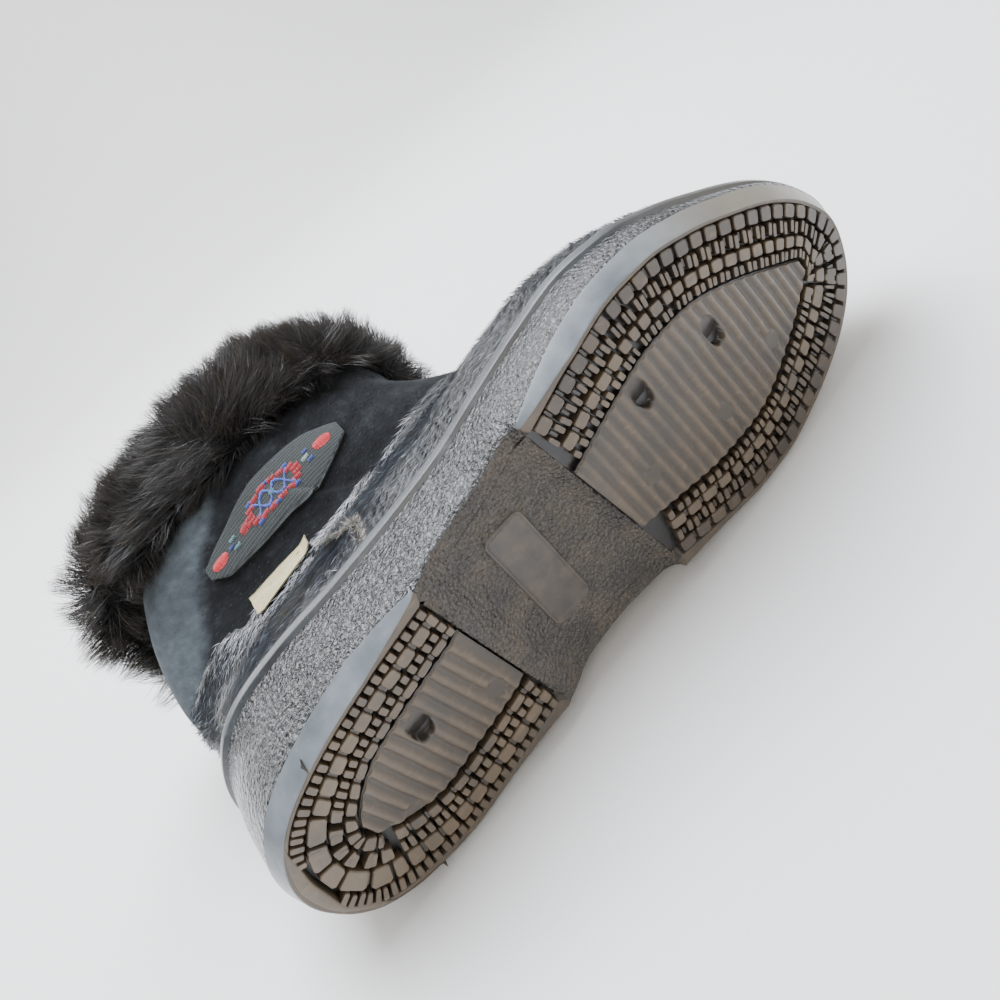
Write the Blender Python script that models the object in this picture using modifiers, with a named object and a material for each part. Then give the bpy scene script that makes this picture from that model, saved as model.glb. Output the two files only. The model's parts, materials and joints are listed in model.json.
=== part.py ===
"""Apres-ski boot for the right foot, lying on its inner side with the outer side up.

The boot is modelled standing: x from the back of the heel to the toe, y towards the inner side,
z up from the plane of the tread. At the end every piece is turned together onto the side that
the boot rests on. Lengths are metres; the tables hold shares of the named sizes.
"""
import math
import bpy
import bmesh
import numpy as np
from mathutils import Matrix, Vector
from mathutils.bvhtree import BVHTree

MM = 0.001

# Driving sizes of the boot
LENGTH = 275 * MM            # sole, back of heel to toe, at the widest level of its side
BALL_WIDTH = 105 * MM        # sole across the ball of the foot
COLLAR_HEIGHT = 168 * MM     # top edge of the shaft above the floor
SOLE_SIDE = 33 * MM          # height of the sole's side at the middle of the heel
TOE_SPRING = 17 * MM         # rise of the tread at the tip of the toe
SPRING_START = 0.52          # share of the length where the rise begins
UPPER_WALL = 2.5 * MM        # hide and lining together
GAP = 0.3 * MM               # between pieces that meet

# Sole
CUP_WALL = 4.5 * MM          # side wall of the sole, around the upper
CHAMFER_OUT = 4.0 * MM
CHAMFER_UP = 7.5 * MM
LIP_HEIGHT = 6.5 * MM
LIP_OUT = 0.9 * MM
WAIST_RECESS = 5.2 * MM
BED_HEIGHT = 13.5 * MM       # top of the sole inside, above the tread
INSOLE_THICK = 3.0 * MM
HEEL_BREAST = (0.297, 0.322)  # share of the length, outer and inner side
FORE_BREAST = (0.506, 0.545)
LUG_PITCH = 7.0 * MM
HEEL_PAD_INSET = 0.210       # edge of the ribbed pads inside the outline, share of the ball width
FORE_PAD_INSET = 0.262
RIB_PITCH = 4.43 * MM
RIB_DEPTH = 1.5 * MM
HEEL_RIB_SKEW = 0.135        # the heel's ribs run forward on the inner side
PANEL_WIDE = 42 * MM         # plain panel under the arch, across the sole
PANEL_LONG = 15 * MM
PANEL_CORNER = 3.5 * MM
PANEL_STEP = 0.6 * MM

# Fur cuff
FUR_DROP = 40 * MM           # how far it hangs below the collar
FUR_RISE = 11 * MM           # how far it stands above the collar
FUR_DEPTH = 14 * MM
LOCKS_PER_ROW = 14
LOCK_LENGTH = 21 * MM
LOCK_WIDE = 20 * MM
LOCK_DEEP = 6.5 * MM

# Overlays
VAMP_THICK = 1.2 * MM
VAMP_START = 0.25            # share of the length where the vamp's cut edge lies
PATCH_THICK = 1.4 * MM
LABEL_THICK = 0.9 * MM

RUNGS = 24                   # stations from heel to toe on each side

# Outline of the sole's side: share of the length; outer and inner edge as shares of the ball width
OUTLINE = {
    "along": (0.000, 0.005, 0.020, 0.050, 0.100, 0.170, 0.250, 0.330, 0.420, 0.500,
              0.580, 0.660, 0.730, 0.800, 0.870, 0.930, 0.970, 0.990, 1.000),
    "outer": (0.019, -0.066, -0.144, -0.224, -0.286, -0.333, -0.362, -0.384, -0.414, -0.464,
              -0.512, -0.541, -0.520, -0.452, -0.345, -0.229, -0.112, -0.019, 0.086),
    "inner": (0.019, 0.100, 0.190, 0.272, 0.326, 0.354, 0.341, 0.322, 0.310, 0.338,
              0.392, 0.446, 0.463, 0.446, 0.411, 0.352, 0.271, 0.190, 0.086),
}

# Top of the sole's side: share of the length; height as a share of SOLE_SIDE, and how far the
# side flares outwards on its way up as a share of SOLE_SIDE
SIDE_TOP = {
    "along": (0.00, 0.06, 0.15, 0.25, 0.50, 0.66, 0.85, 1.00),
    "height": (1.40, 1.36, 1.22, 1.08, 0.95, 0.84, 0.60, 0.44),
    "flare": (0.15, 0.13, 0.08, 0.04, 0.01, 0.00, 0.00, 0.00),
}

# Rings of the upper above the sole, from its lower edge to the collar. back and front: share of
# the length; low and high: height of those two ends as shares of COLLAR_HEIGHT; sag: how late the
# ring rises on its way forward; wide and round: width as a share of the ball width for the part
# that follows the sole, and for the part that is an oval; oval: how much of the ring is the oval;
# lean: shift to the outer side as a share of the ball width
RINGS = [
    {"back": 0.001, "front": 0.982, "low": 0.305, "high": 0.210, "sag": 1.0, "wide": 0.985, "round": 0.400, "oval": 0.00, "lean": 0.000},
    {"back": -0.003, "front": 0.955, "low": 0.335, "high": 0.280, "sag": 1.0, "wide": 0.940, "round": 0.400, "oval": 0.00, "lean": 0.000},
    {"back": -0.012, "front": 0.908, "low": 0.375, "high": 0.345, "sag": 1.0, "wide": 0.855, "round": 0.400, "oval": 0.04, "lean": -0.020},
    {"back": -0.025, "front": 0.840, "low": 0.418, "high": 0.400, "sag": 1.1, "wide": 0.755, "round": 0.390, "oval": 0.14, "lean": -0.035},
    {"back": -0.038, "front": 0.750, "low": 0.465, "high": 0.455, "sag": 1.2, "wide": 0.665, "round": 0.380, "oval": 0.32, "lean": -0.045},
    {"back": -0.054, "front": 0.640, "low": 0.522, "high": 0.520, "sag": 1.3, "wide": 0.610, "round": 0.380, "oval": 0.55, "lean": -0.035},
    {"back": -0.063, "front": 0.540, "low": 0.590, "high": 0.600, "sag": 1.4, "wide": 0.640, "round": 0.400, "oval": 0.80, "lean": -0.005},
    {"back": -0.062, "front": 0.468, "low": 0.690, "high": 0.710, "sag": 1.3, "wide": 0.720, "round": 0.435, "oval": 1.00, "lean": 0.030},
    {"back": -0.052, "front": 0.446, "low": 0.810, "high": 0.855, "sag": 1.2, "wide": 0.800, "round": 0.455, "oval": 1.00, "lean": 0.062},
    {"back": -0.036, "front": 0.441, "low": 0.915, "high": 1.000, "sag": 1.0, "wide": 0.800, "round": 0.460, "oval": 1.00, "lean": 0.088},
]

# Colours as the photo shows them, lit
TREAD_BROWN = (0.115, 0.092, 0.070)
HIDE_BLACK = (0.030, 0.034, 0.040)
FUR_BROWN = (0.022, 0.015, 0.012)
BAND_GREY = (0.060, 0.066, 0.068)
LABEL_CREAM = (0.72, 0.66, 0.42)
INSOLE_GREY = (0.20, 0.19, 0.18)
HAIR_BLUE = (0.050, 0.058, 0.070)


# Shape functions

def along_angle(share):
    """Angle that spreads the rounded ends of an outline evenly."""
    return np.arccos(np.clip(1.0 - 2.0 * np.asarray(share, float), -1.0, 1.0))


def curve(xs, ys, at):
    """Smooth curve through a table's rows, with no overshoot between two rows."""
    xs = np.asarray(xs, float)
    ys = np.asarray(ys, float)
    at = np.clip(np.asarray(at, float), xs[0], xs[-1])
    step = np.diff(xs)
    slope = np.diff(ys) / step
    lean = np.zeros(len(xs))
    lean[0] = slope[0]
    lean[-1] = slope[-1]
    for i in range(1, len(xs) - 1):
        if slope[i - 1] * slope[i] > 0:
            w1 = 2 * step[i] + step[i - 1]
            w2 = step[i] + 2 * step[i - 1]
            lean[i] = (w1 + w2) / (w1 / slope[i - 1] + w2 / slope[i])
    k = np.clip(np.searchsorted(xs, at, side="right") - 1, 0, len(xs) - 2)
    t = (at - xs[k]) / step[k]
    h = step[k]
    return ((1 + 2 * t) * (1 - t) ** 2 * ys[k] + t * (1 - t) ** 2 * h * lean[k]
            + t * t * (3 - 2 * t) * ys[k + 1] + t * t * (t - 1) * h * lean[k + 1])


def side_edge(share, side):
    """Half outline of the sole as y at a share of the length; side is outer or inner."""
    return BALL_WIDTH * curve(along_angle(OUTLINE["along"]), OUTLINE[side], along_angle(share))


def rise(x):
    """Height of the tread above the floor: flat to the ball, then the toe spring."""
    s = np.clip((np.asarray(x, float) / LENGTH - SPRING_START) / (1.0 - SPRING_START), 0.0, 1.1)
    return TOE_SPRING * s * s


def side_top(x):
    share = np.clip(np.asarray(x, float) / LENGTH, 0.0, 1.0)
    return SOLE_SIDE * curve(SIDE_TOP["along"], SIDE_TOP["height"], share)


def side_flare(x):
    share = np.clip(np.asarray(x, float) / LENGTH, 0.0, 1.0)
    return SOLE_SIDE * curve(SIDE_TOP["along"], SIDE_TOP["flare"], share)


def rung_shares():
    """Shares of the length where sections lie, with a close pair at both ends of the waist."""
    base = 0.5 * (1.0 - np.cos(np.linspace(0.0, math.pi, RUNGS + 1)))
    outer = [float(v) for v in base]
    for line in (HEEL_BREAST[0], FORE_BREAST[0]):
        near = sorted(range(1, RUNGS), key=lambda i: abs(outer[i] - line))[:2]
        lo, hi = sorted(near)
        outer[lo] = line - 0.005
        outer[hi] = line + 0.005
    outer = np.array(outer)
    knots = (0.0, HEEL_BREAST[0], FORE_BREAST[0], 1.0)
    inner = np.interp(outer, knots, (0.0, HEEL_BREAST[1], FORE_BREAST[1], 1.0))
    return outer, inner


def outline_loop(inset):
    """Closed outline moved inwards by inset; outer side from heel to toe, then back inside."""
    outer, inner = rung_shares()
    pts = []
    for share, side in [(s, "outer") for s in outer] + [(s, "inner") for s in inner[-2:0:-1]]:
        t = float(along_angle(share))
        eps = 0.012
        lo = max(t - eps, 0.0)
        hi = min(t + eps, math.pi)
        a = 0.5 * (1 - math.cos(lo))
        b = 0.5 * (1 - math.cos(hi))
        here = np.array([share * LENGTH, float(side_edge(share, side))])
        tangent = np.array([(b - a) * LENGTH, float(side_edge(b, side) - side_edge(a, side))])
        if share <= 0.0 or share >= 1.0:
            tangent = np.array([0.0, -1.0])
        tangent /= np.linalg.norm(tangent)
        normal = np.array([-tangent[1], tangent[0]])
        if side == "inner":
            normal = -normal
        if share <= 0.0:
            normal = np.array([1.0, 0.0])
        if share >= 1.0:
            normal = np.array([-1.0, 0.0])
        move = inset[len(pts)] if np.ndim(inset) else inset
        pts.append(here + move * normal)
    return np.array(pts)


def in_waist(index):
    """True where a station of the outline lies between the heel's and the forefoot's tread."""
    outer, _ = rung_shares()
    n = 2 * RUNGS
    rung = index if index <= RUNGS else n - index
    return HEEL_BREAST[0] < outer[rung] < FORE_BREAST[0]


def add_mesh(name, verts, faces, colour, roughness, collection, smooth=True, metallic=0.0):
    mesh = bpy.data.meshes.new(name)
    mesh.from_pydata([tuple(map(float, v)) for v in verts], [], [tuple(map(int, f)) for f in faces])
    mesh.update()
    body = bpy.data.objects.new(name, mesh)
    collection.objects.link(body)
    bm = bmesh.new()
    bm.from_mesh(mesh)
    bmesh.ops.recalc_face_normals(bm, faces=bm.faces)
    bm.to_mesh(mesh)
    bm.free()
    for polygon in mesh.polygons:
        polygon.use_smooth = smooth
    surface = bpy.data.materials.new(name)
    surface.use_nodes = True
    shader = surface.node_tree.nodes["Principled BSDF"]
    shader.inputs["Base Color"].default_value = (*colour, 1.0)
    shader.inputs["Roughness"].default_value = roughness
    shader.inputs["Metallic"].default_value = metallic
    mesh.materials.append(surface)
    return body


def bridge(loops, closed=False):
    """Faces between consecutive loops of equal count."""
    n = len(loops[0])
    verts = [v for loop in loops for v in loop]
    faces = []
    pairs = len(loops) if closed else len(loops) - 1
    for k in range(pairs):
        a = k * n
        b = ((k + 1) % len(loops)) * n
        for i in range(n):
            j = (i + 1) % n
            faces.append((a + i, a + j, b + j, b + i))
    return verts, faces


def rung_cap(first, n):
    """Faces across a loop, from each outer station to its inner partner."""
    faces = []
    half = n // 2
    for i in range(half):
        a = first + i
        b = first + i + 1
        c = first + (n - i - 1) % n
        d = first + (n - i) % n
        if i == 0:
            faces.append((a, b, c))
        elif i == half - 1:
            faces.append((a, b, d))
        else:
            faces.append((a, b, c, d))
    return faces


def join_into(target, others):
    """Fuses solids that overlap target into it."""
    bpy.context.view_layer.objects.active = target
    step = target.modifiers.new("fuse", "BOOLEAN")
    step.operation = "UNION"
    step.solver = "EXACT"
    step.use_self = True
    step.object = others
    others.hide_render = True
    others.display_type = "WIRE"
    apply_modifiers(target)


def apply_modifiers(body):
    """Keeps the evaluated shape as the object's own mesh."""
    graph = bpy.context.evaluated_depsgraph_get()
    shape = bpy.data.meshes.new_from_object(body.evaluated_get(graph))
    old = body.data
    materials = list(old.materials)
    body.modifiers.clear()
    body.data = shape
    shape.materials.clear()
    for surface in materials[:1]:
        shape.materials.append(surface)
    for polygon in shape.polygons:
        polygon.material_index = 0
    shape.name = body.name


# Sole

def lug_box(centre, heading, long, wide, verts, faces):
    """A lug from the tread plane up into the sole's floor, long across the heading."""
    ux = np.array([math.cos(heading), math.sin(heading)])
    uy = np.array([-ux[1], ux[0]])
    first = len(verts)
    for top in (False, True):
        for a, b in ((-1, -1), (1, -1), (1, 1), (-1, 1)):
            p = centre + 0.5 * a * long * ux + 0.5 * b * wide * uy
            z = float(rise(p[0])) + (WAIST_RECESS + 1.2 * MM if top else 0.0)
            verts.append((p[0], p[1], z))
    f = first
    faces += [(f, f + 3, f + 2, f + 1), (f + 4, f + 5, f + 6, f + 7)]
    faces += [(f + i, f + (i + 1) % 4, f + 4 + (i + 1) % 4, f + 4 + i) for i in range(4)]


def pad_edge(x, region, side):
    """Edge of a ribbed pad: y at x, as the outline moved in, closed round at one end."""
    share = float(np.clip(x / LENGTH, 0.02, 0.98))
    y = float(side_edge(share, side))
    middle = 0.5 * float(side_edge(share, "outer") + side_edge(share, "inner"))
    if region == "heel":
        start, full, inset = 0.098, 0.185, HEEL_PAD_INSET * BALL_WIDTH
        near = np.clip((share - start) / (full - start), 0.0, 1.0)
    else:
        start, full, inset = 0.905, 0.700, FORE_PAD_INSET * BALL_WIDTH
        near = np.clip((share - start) / (full - start), 0.0, 1.0)
    width = abs(y - middle) - inset
    if region == "fore" and side == "inner":
        width += 3.0 * MM
    width = max(width, 4.0 * MM) * math.sqrt(max(1.0 - (1.0 - float(near)) ** 2, 0.0))
    width = max(width, 1.5 * MM)
    return middle - width if side == "outer" else middle + width


def ribbed_pad(region):
    """Raised field with ribs across it, as sections from its rear to its front."""
    if region == "heel":
        first, last, skew = 0.100 * LENGTH, 0.296 * LENGTH, HEEL_RIB_SKEW
    else:
        first, last, skew = 0.530 * LENGTH, 0.900 * LENGTH, 0.0
    sections = []
    count = int((last - first) / RIB_PITCH)
    for k in range(count):
        x = first + k * RIB_PITCH
        for shift, height in ((0.00, 0.0), (0.38, 0.0), (0.69, RIB_DEPTH)):
            sections.append((x + shift * RIB_PITCH, height))
    sections.append((first + count * RIB_PITCH, 0.0))
    verts = []
    faces = []
    for x, height in sections:
        outer = pad_edge(x, region, "outer")
        inner = pad_edge(x, region, "inner")
        for y, top in ((outer, False), (inner, False), (inner, True), (outer, True)):
            px = x + skew * y
            base = float(rise(px))
            z = base + (WAIST_RECESS + 1.2 * MM if top else 0.5 * MM + height)
            verts.append((px, y, z))
    for k in range(len(sections) - 1):
        a = 4 * k
        for i in range(4):
            j = (i + 1) % 4
            faces.append((a + i, a + j, a + 4 + j, a + 4 + i))
    faces.append((0, 1, 2, 3))
    end = 4 * (len(sections) - 1)
    faces.append((end, end + 1, end + 2, end + 3))
    return verts, faces


# Columns of main lugs: distance inside the outline as a share of the ball width, offset along the
# column as a share of the pitch, and the lug's size along and across the column as shares of it
LUG_COLUMNS = {
    "inset": (0.078, 0.139, 0.200),
    "phase": (0.0, 0.5, 0.0),
    "long": (0.66, 0.80, 0.77),
    "wide": (0.71, 0.77, 0.77),
}


def lug_columns():
    """Centres and headings of the main lugs: columns that follow the edge of heel and forefoot."""
    lugs = []
    for inset, phase, long, wide in zip(*LUG_COLUMNS.values()):
        for side in ("outer", "inner"):
            dense = 0.5 * (1 - np.cos(np.linspace(0.05, math.pi - 0.05, 900)))
            edge = np.stack([dense * LENGTH, side_edge(dense, side)], 1)
            tangent = np.gradient(edge, axis=0)
            tangent /= np.linalg.norm(tangent, axis=1)[:, None]
            normal = np.stack([-tangent[:, 1], tangent[:, 0]], 1)
            if side == "inner":
                normal = -normal
            line = edge + inset * BALL_WIDTH * normal
            middle = 0.5 * (side_edge(dense, "outer") + side_edge(dense, "inner"))
            keep = line[:, 1] < middle - 0.3 * LUG_PITCH if side == "outer" else line[:, 1] > middle + 0.3 * LUG_PITCH
            arc = np.concatenate([[0.0], np.cumsum(np.linalg.norm(np.diff(line, axis=0), axis=1))])
            k = int((arc[-1]) / LUG_PITCH)
            for i in range(k):
                s = (i + phase + 0.3) * LUG_PITCH
                j = int(np.searchsorted(arc, s))
                if j >= len(line) or not keep[j]:
                    continue
                x, y = line[j]
                across = np.clip((y - float(side_edge(x / LENGTH, "outer"))) / (0.7 * BALL_WIDTH), 0, 1)
                breast = LENGTH * (HEEL_BREAST[0] + (HEEL_BREAST[1] - HEEL_BREAST[0]) * across)
                front = LENGTH * (FORE_BREAST[0] + (FORE_BREAST[1] - FORE_BREAST[0]) * across)
                if breast - 3.2 * MM < x < front + 3.2 * MM:
                    continue
                region = "heel" if x < breast else "fore"
                skew = HEEL_RIB_SKEW if region == "heel" else 0.0
                px = x - skew * y
                clear = 3.9 * MM
                inside_x = (0.100 if region == "heel" else 0.530) * LENGTH - clear < px < \
                           (0.296 if region == "heel" else 0.900) * LENGTH + clear
                if inside_x:
                    if pad_edge(px, region, "outer") - clear < y < pad_edge(px, region, "inner") + clear:
                        continue
                heading = math.atan2(tangent[j][1], tangent[j][0])
                spot = np.array([x, y])
                if any(np.linalg.norm(spot - other[0]) < 0.84 * LUG_PITCH for other in lugs):
                    continue
                lugs.append((spot, heading, long * LUG_PITCH, wide * LUG_PITCH))
    return lugs


def waist_panel():
    """Low plain plate with rounded corners under the arch, turned with the waist's ends."""
    centre = np.array([0.405 * LENGTH, -0.065 * BALL_WIDTH])
    turn = math.atan2(FORE_BREAST[1] - FORE_BREAST[0], BALL_WIDTH / LENGTH)
    ux = np.array([math.cos(turn), -math.sin(turn)])
    uy = np.array([math.sin(turn), math.cos(turn)])
    half_x = 0.5 * PANEL_LONG
    half_y = 0.5 * PANEL_WIDE
    low = []
    for sx, sy, start in ((1, 1, 0.0), (-1, 1, 90.0), (-1, -1, 180.0), (1, -1, 270.0)):
        for step in (0.0, 30.0, 60.0, 90.0):
            angle = math.radians(start + step)
            a = sx * (half_x - PANEL_CORNER) + PANEL_CORNER * math.cos(angle)
            b = sy * (half_y - PANEL_CORNER) + PANEL_CORNER * math.sin(angle)
            p = centre + a * ux + b * uy
            low.append((p[0], p[1], WAIST_RECESS - PANEL_STEP))
    high = [(x, y, WAIST_RECESS + 1.5 * MM) for x, y, _ in low]
    verts, faces = bridge([low, high])
    n = len(low)
    faces.append(tuple(range(n)))
    faces.append(tuple(range(n, 2 * n)))
    return verts, faces


def build_outsole(collection, cutters):
    outer_xy = outline_loop(0.0)
    n = len(outer_xy)
    waist = np.array([in_waist(i) for i in range(n)])
    x = outer_xy[:, 0]
    lift = rise(x)
    top = side_top(x) + lift

    def ring(inset, z):
        xy = outline_loop(inset)
        return [(xy[i, 0], xy[i, 1], z[i]) for i in range(n)]

    def flat_ring(inset, above):
        xy = outline_loop(inset)
        return ring(inset, rise(xy[:, 0]) + above)

    tread = np.where(waist, WAIST_RECESS, 0.6 * MM)
    flare = side_flare(x)
    loops = [
        flat_ring(6.4 * MM, np.full(n, WAIST_RECESS)),
        flat_ring(5.6 * MM, tread),
        flat_ring(CHAMFER_OUT, tread),
        ring(0.0, lift + np.where(waist, WAIST_RECESS + 2.5 * MM, CHAMFER_UP)),
        ring(-0.5 * flare - 0.6 * MM, 0.5 * (lift + CHAMFER_UP + top - LIP_HEIGHT)),
        ring(-0.9 * flare, top - LIP_HEIGHT),
        ring(-flare - LIP_OUT, top - 0.8 * LIP_HEIGHT),
        ring(-flare - LIP_OUT, top - 0.25 * LIP_HEIGHT),
        ring(0.5 * MM - flare, top),
        ring(CUP_WALL - flare, top),
        flat_ring(CUP_WALL, np.full(n, BED_HEIGHT)),
    ]
    verts, faces = bridge(loops)
    faces += rung_cap(0, n)
    faces += rung_cap(10 * n, n)
    body = add_mesh("outsole", verts, faces, TREAD_BROWN, 0.55, collection)

    verts = []
    faces = []
    for centre, heading, long, wide in lug_columns():
        lug_box(centre, heading, long, wide, verts, faces)
    lugs = add_mesh("lugs", verts, faces, TREAD_BROWN, 0.55, cutters, smooth=False)
    join_into(body, lugs)
    for region in ("heel", "fore"):
        verts, faces = ribbed_pad(region)
        pad = add_mesh(region + "_pad", verts, faces, TREAD_BROWN, 0.55, cutters, smooth=False)
        join_into(body, pad)
    verts, faces = waist_panel()
    panel = add_mesh("waist_panel", verts, faces, TREAD_BROWN, 0.55, cutters, smooth=False)
    join_into(body, panel)
    return body


def build_insole(collection):
    """Thin board inside the upper's lower opening, on the sole's bed."""
    edge = CUP_WALL + 1.5 * GAP + UPPER_WALL + 0.4 * MM
    xy = outline_loop(edge)
    n = len(xy)
    base = rise(xy[:, 0]) + BED_HEIGHT + GAP
    loops = [[(xy[i, 0], xy[i, 1], base[i]) for i in range(n)],
             [(xy[i, 0], xy[i, 1], base[i] + INSOLE_THICK) for i in range(n)]]
    verts, faces = bridge(loops)
    faces += rung_cap(0, n) + rung_cap(n, n)
    return add_mesh("insole", verts, faces, INSOLE_GREY, 0.9, collection)


# Upper

def upper_ring(level):
    """Ring of the upper's outer surface; levels 0 and 1 stand inside the sole's cup."""
    n = 2 * RUNGS
    if level < 2:
        xy = outline_loop(CUP_WALL + 1.5 * GAP)
        if level == 1:
            xy = outline_loop(CUP_WALL + 1.5 * GAP - side_flare(xy[:, 0]))
        base = rise(xy[:, 0])
        z = base + BED_HEIGHT + GAP if level == 0 else base + side_top(xy[:, 0]) + 0.8 * MM
        return np.stack([xy[:, 0], xy[:, 1], z], 1)
    row = RINGS[level - 2]
    outer, inner = rung_shares()
    out = []
    for i in range(n):
        side = "outer" if i <= RUNGS else "inner"
        share = float(outer[i] if i <= RUNGS else inner[n - i])
        x = LENGTH * (row["back"] + (row["front"] - row["back"]) * share)
        reach = CUP_WALL + GAP
        flat = float(side_edge(share, side))
        tip = float(side_edge(0.0 if share < 0.5 else 1.0, side))
        shrink = 1.0 - reach / (0.5 * BALL_WIDTH)
        flat = tip + (flat - tip) * shrink * row["wide"]
        swing = max(math.sin(float(along_angle(share))), 0.0) ** 0.75
        oval = BALL_WIDTH * row["round"] * swing * (-1.0 if side == "outer" else 0.93)
        centre = 0.03 * BALL_WIDTH * (1.0 - row["oval"])
        y = (1.0 - row["oval"]) * flat + row["oval"] * (oval + centre)
        y -= row["lean"] * BALL_WIDTH
        z = COLLAR_HEIGHT * (row["low"] + (row["high"] - row["low"]) * share ** row["sag"])
        out.append((x, y, z))
    return np.array(out)


def build_upper(collection):
    rings = [upper_ring(k) for k in range(len(RINGS) + 2)]
    verts, faces = bridge([list(map(tuple, ring)) for ring in rings])
    body = add_mesh("upper", verts, faces, HIDE_BLACK, 0.6, collection)
    skin = [tuple(v.co) for v in body.data.vertices], [tuple(p.vertices) for p in body.data.polygons]
    shell = body.modifiers.new("wall", "SOLIDIFY")
    shell.thickness = UPPER_WALL
    shell.offset = -1.0
    shell.use_even_offset = True
    shell.use_rim = True
    shell.use_quality_normals = True
    apply_modifiers(body)
    return body, rings, skin


def smooth_normals(rings):
    """Outward unit normal at each station of each ring."""
    grid = np.array(rings)
    around = np.roll(grid, -1, axis=1) - np.roll(grid, 1, axis=1)
    up = np.gradient(grid, axis=0)
    normal = np.cross(up, around)
    normal /= np.linalg.norm(normal, axis=2)[:, :, None]
    centre = grid.mean(axis=1)[:, None, :]
    flip = np.sum(normal * (grid - centre), axis=2)
    if np.median(flip) < 0:
        normal = -normal
    return normal


# Upper edge of the hide: share of a station from the heel (0) to the toe (1), and the level it
# reaches on the ring scale of the upper
HIDE_TOP = {
    "station": (0.00, 0.30, 0.50, 0.70, 0.85, 1.00),
    "level": (6.10, 6.20, 6.30, 6.75, 7.40, 7.85),
}


def overlay_levels(low, high, rows):
    """Levels from low to high; the nearest one moves onto each whole ring between them."""
    levels = [low + (high - low) * r / rows for r in range(rows + 1)]
    free = list(range(1, rows))
    for whole in range(math.ceil(low + 0.01), math.ceil(high - 0.01)):
        if free:
            near = min(free, key=lambda r: abs(levels[r] - whole))
            levels[near] = float(whole)
            free = [r for r in free if r > near]
    return levels


def build_vamp(collection, rings):
    """Hide over the forefoot, a step above the quarter, from the sole's lip to the instep."""
    normal = smooth_normals(rings)
    grid = np.array(rings)
    outer, _ = rung_shares()
    n = 2 * RUNGS
    start = int(np.searchsorted(outer, VAMP_START))
    stations = list(range(start, n - start + 1))
    rows = 6
    low = 1.15
    skins = []
    for lift in (0.8 * MM, 0.8 * MM + VAMP_THICK):
        skin = []
        for i in stations:
            rung = i if i <= RUNGS else n - i
            at = along_angle(outer[rung]) / math.pi
            high = float(curve(HIDE_TOP["station"], HIDE_TOP["level"], at))
            column = []
            for level in overlay_levels(low, high, rows):
                k = int(min(math.floor(level), len(rings) - 2))
                t = level - k
                p = (1 - t) * grid[k, i] + t * grid[k + 1, i]
                m = (1 - t) * normal[k, i] + t * normal[k + 1, i]
                column.append(tuple(p + lift * m / np.linalg.norm(m)))
            skin.append(column)
        skins.append(skin)
    verts = [p for skin in skins for column in skin for p in column]
    w = rows + 1
    c = len(stations)
    faces = []
    for s in (0, c * w):
        for i in range(c - 1):
            for r in range(rows):
                a = s + i * w + r
                faces.append((a, a + 1, a + w + 1, a + w))
    back = c * w
    for i in range(c - 1):
        for r in (0, rows):
            a = i * w + r
            faces.append((a, a + w, back + a + w, back + a))
    for i in (0, c - 1):
        for r in range(rows):
            a = i * w + r
            faces.append((a, a + 1, back + a + 1, back + a))
    return add_mesh("vamp", verts, faces, HAIR_BLUE, 0.45, collection)


# Fur cuff: section around the collar. out: distance from the upper's outer skin as a share of
# FUR_DEPTH; up: height from the collar, as a share of FUR_DROP below it and of FUR_RISE above it
FUR_SECTION = {
    "out": (0.03, 0.55, 0.95, 1.00, 0.60, -0.05, -0.50, -0.18),
    "up": (-0.90, -1.00, -0.62, -0.10, 0.70, 1.00, 0.30, -0.22),
}

# Rows of locks: corner of the section that a row grows from, its direction out and up, and its
# length as a share of LOCK_LENGTH
LOCK_ROWS = {
    "corner": (1, 2, 3, 4),
    "lead": (0.22, 0.30, 0.42, 0.60),
    "climb": (-0.97, -0.95, -0.90, 0.55),
    "long": (0.75, 1.00, 1.00, 0.75),
}


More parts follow.
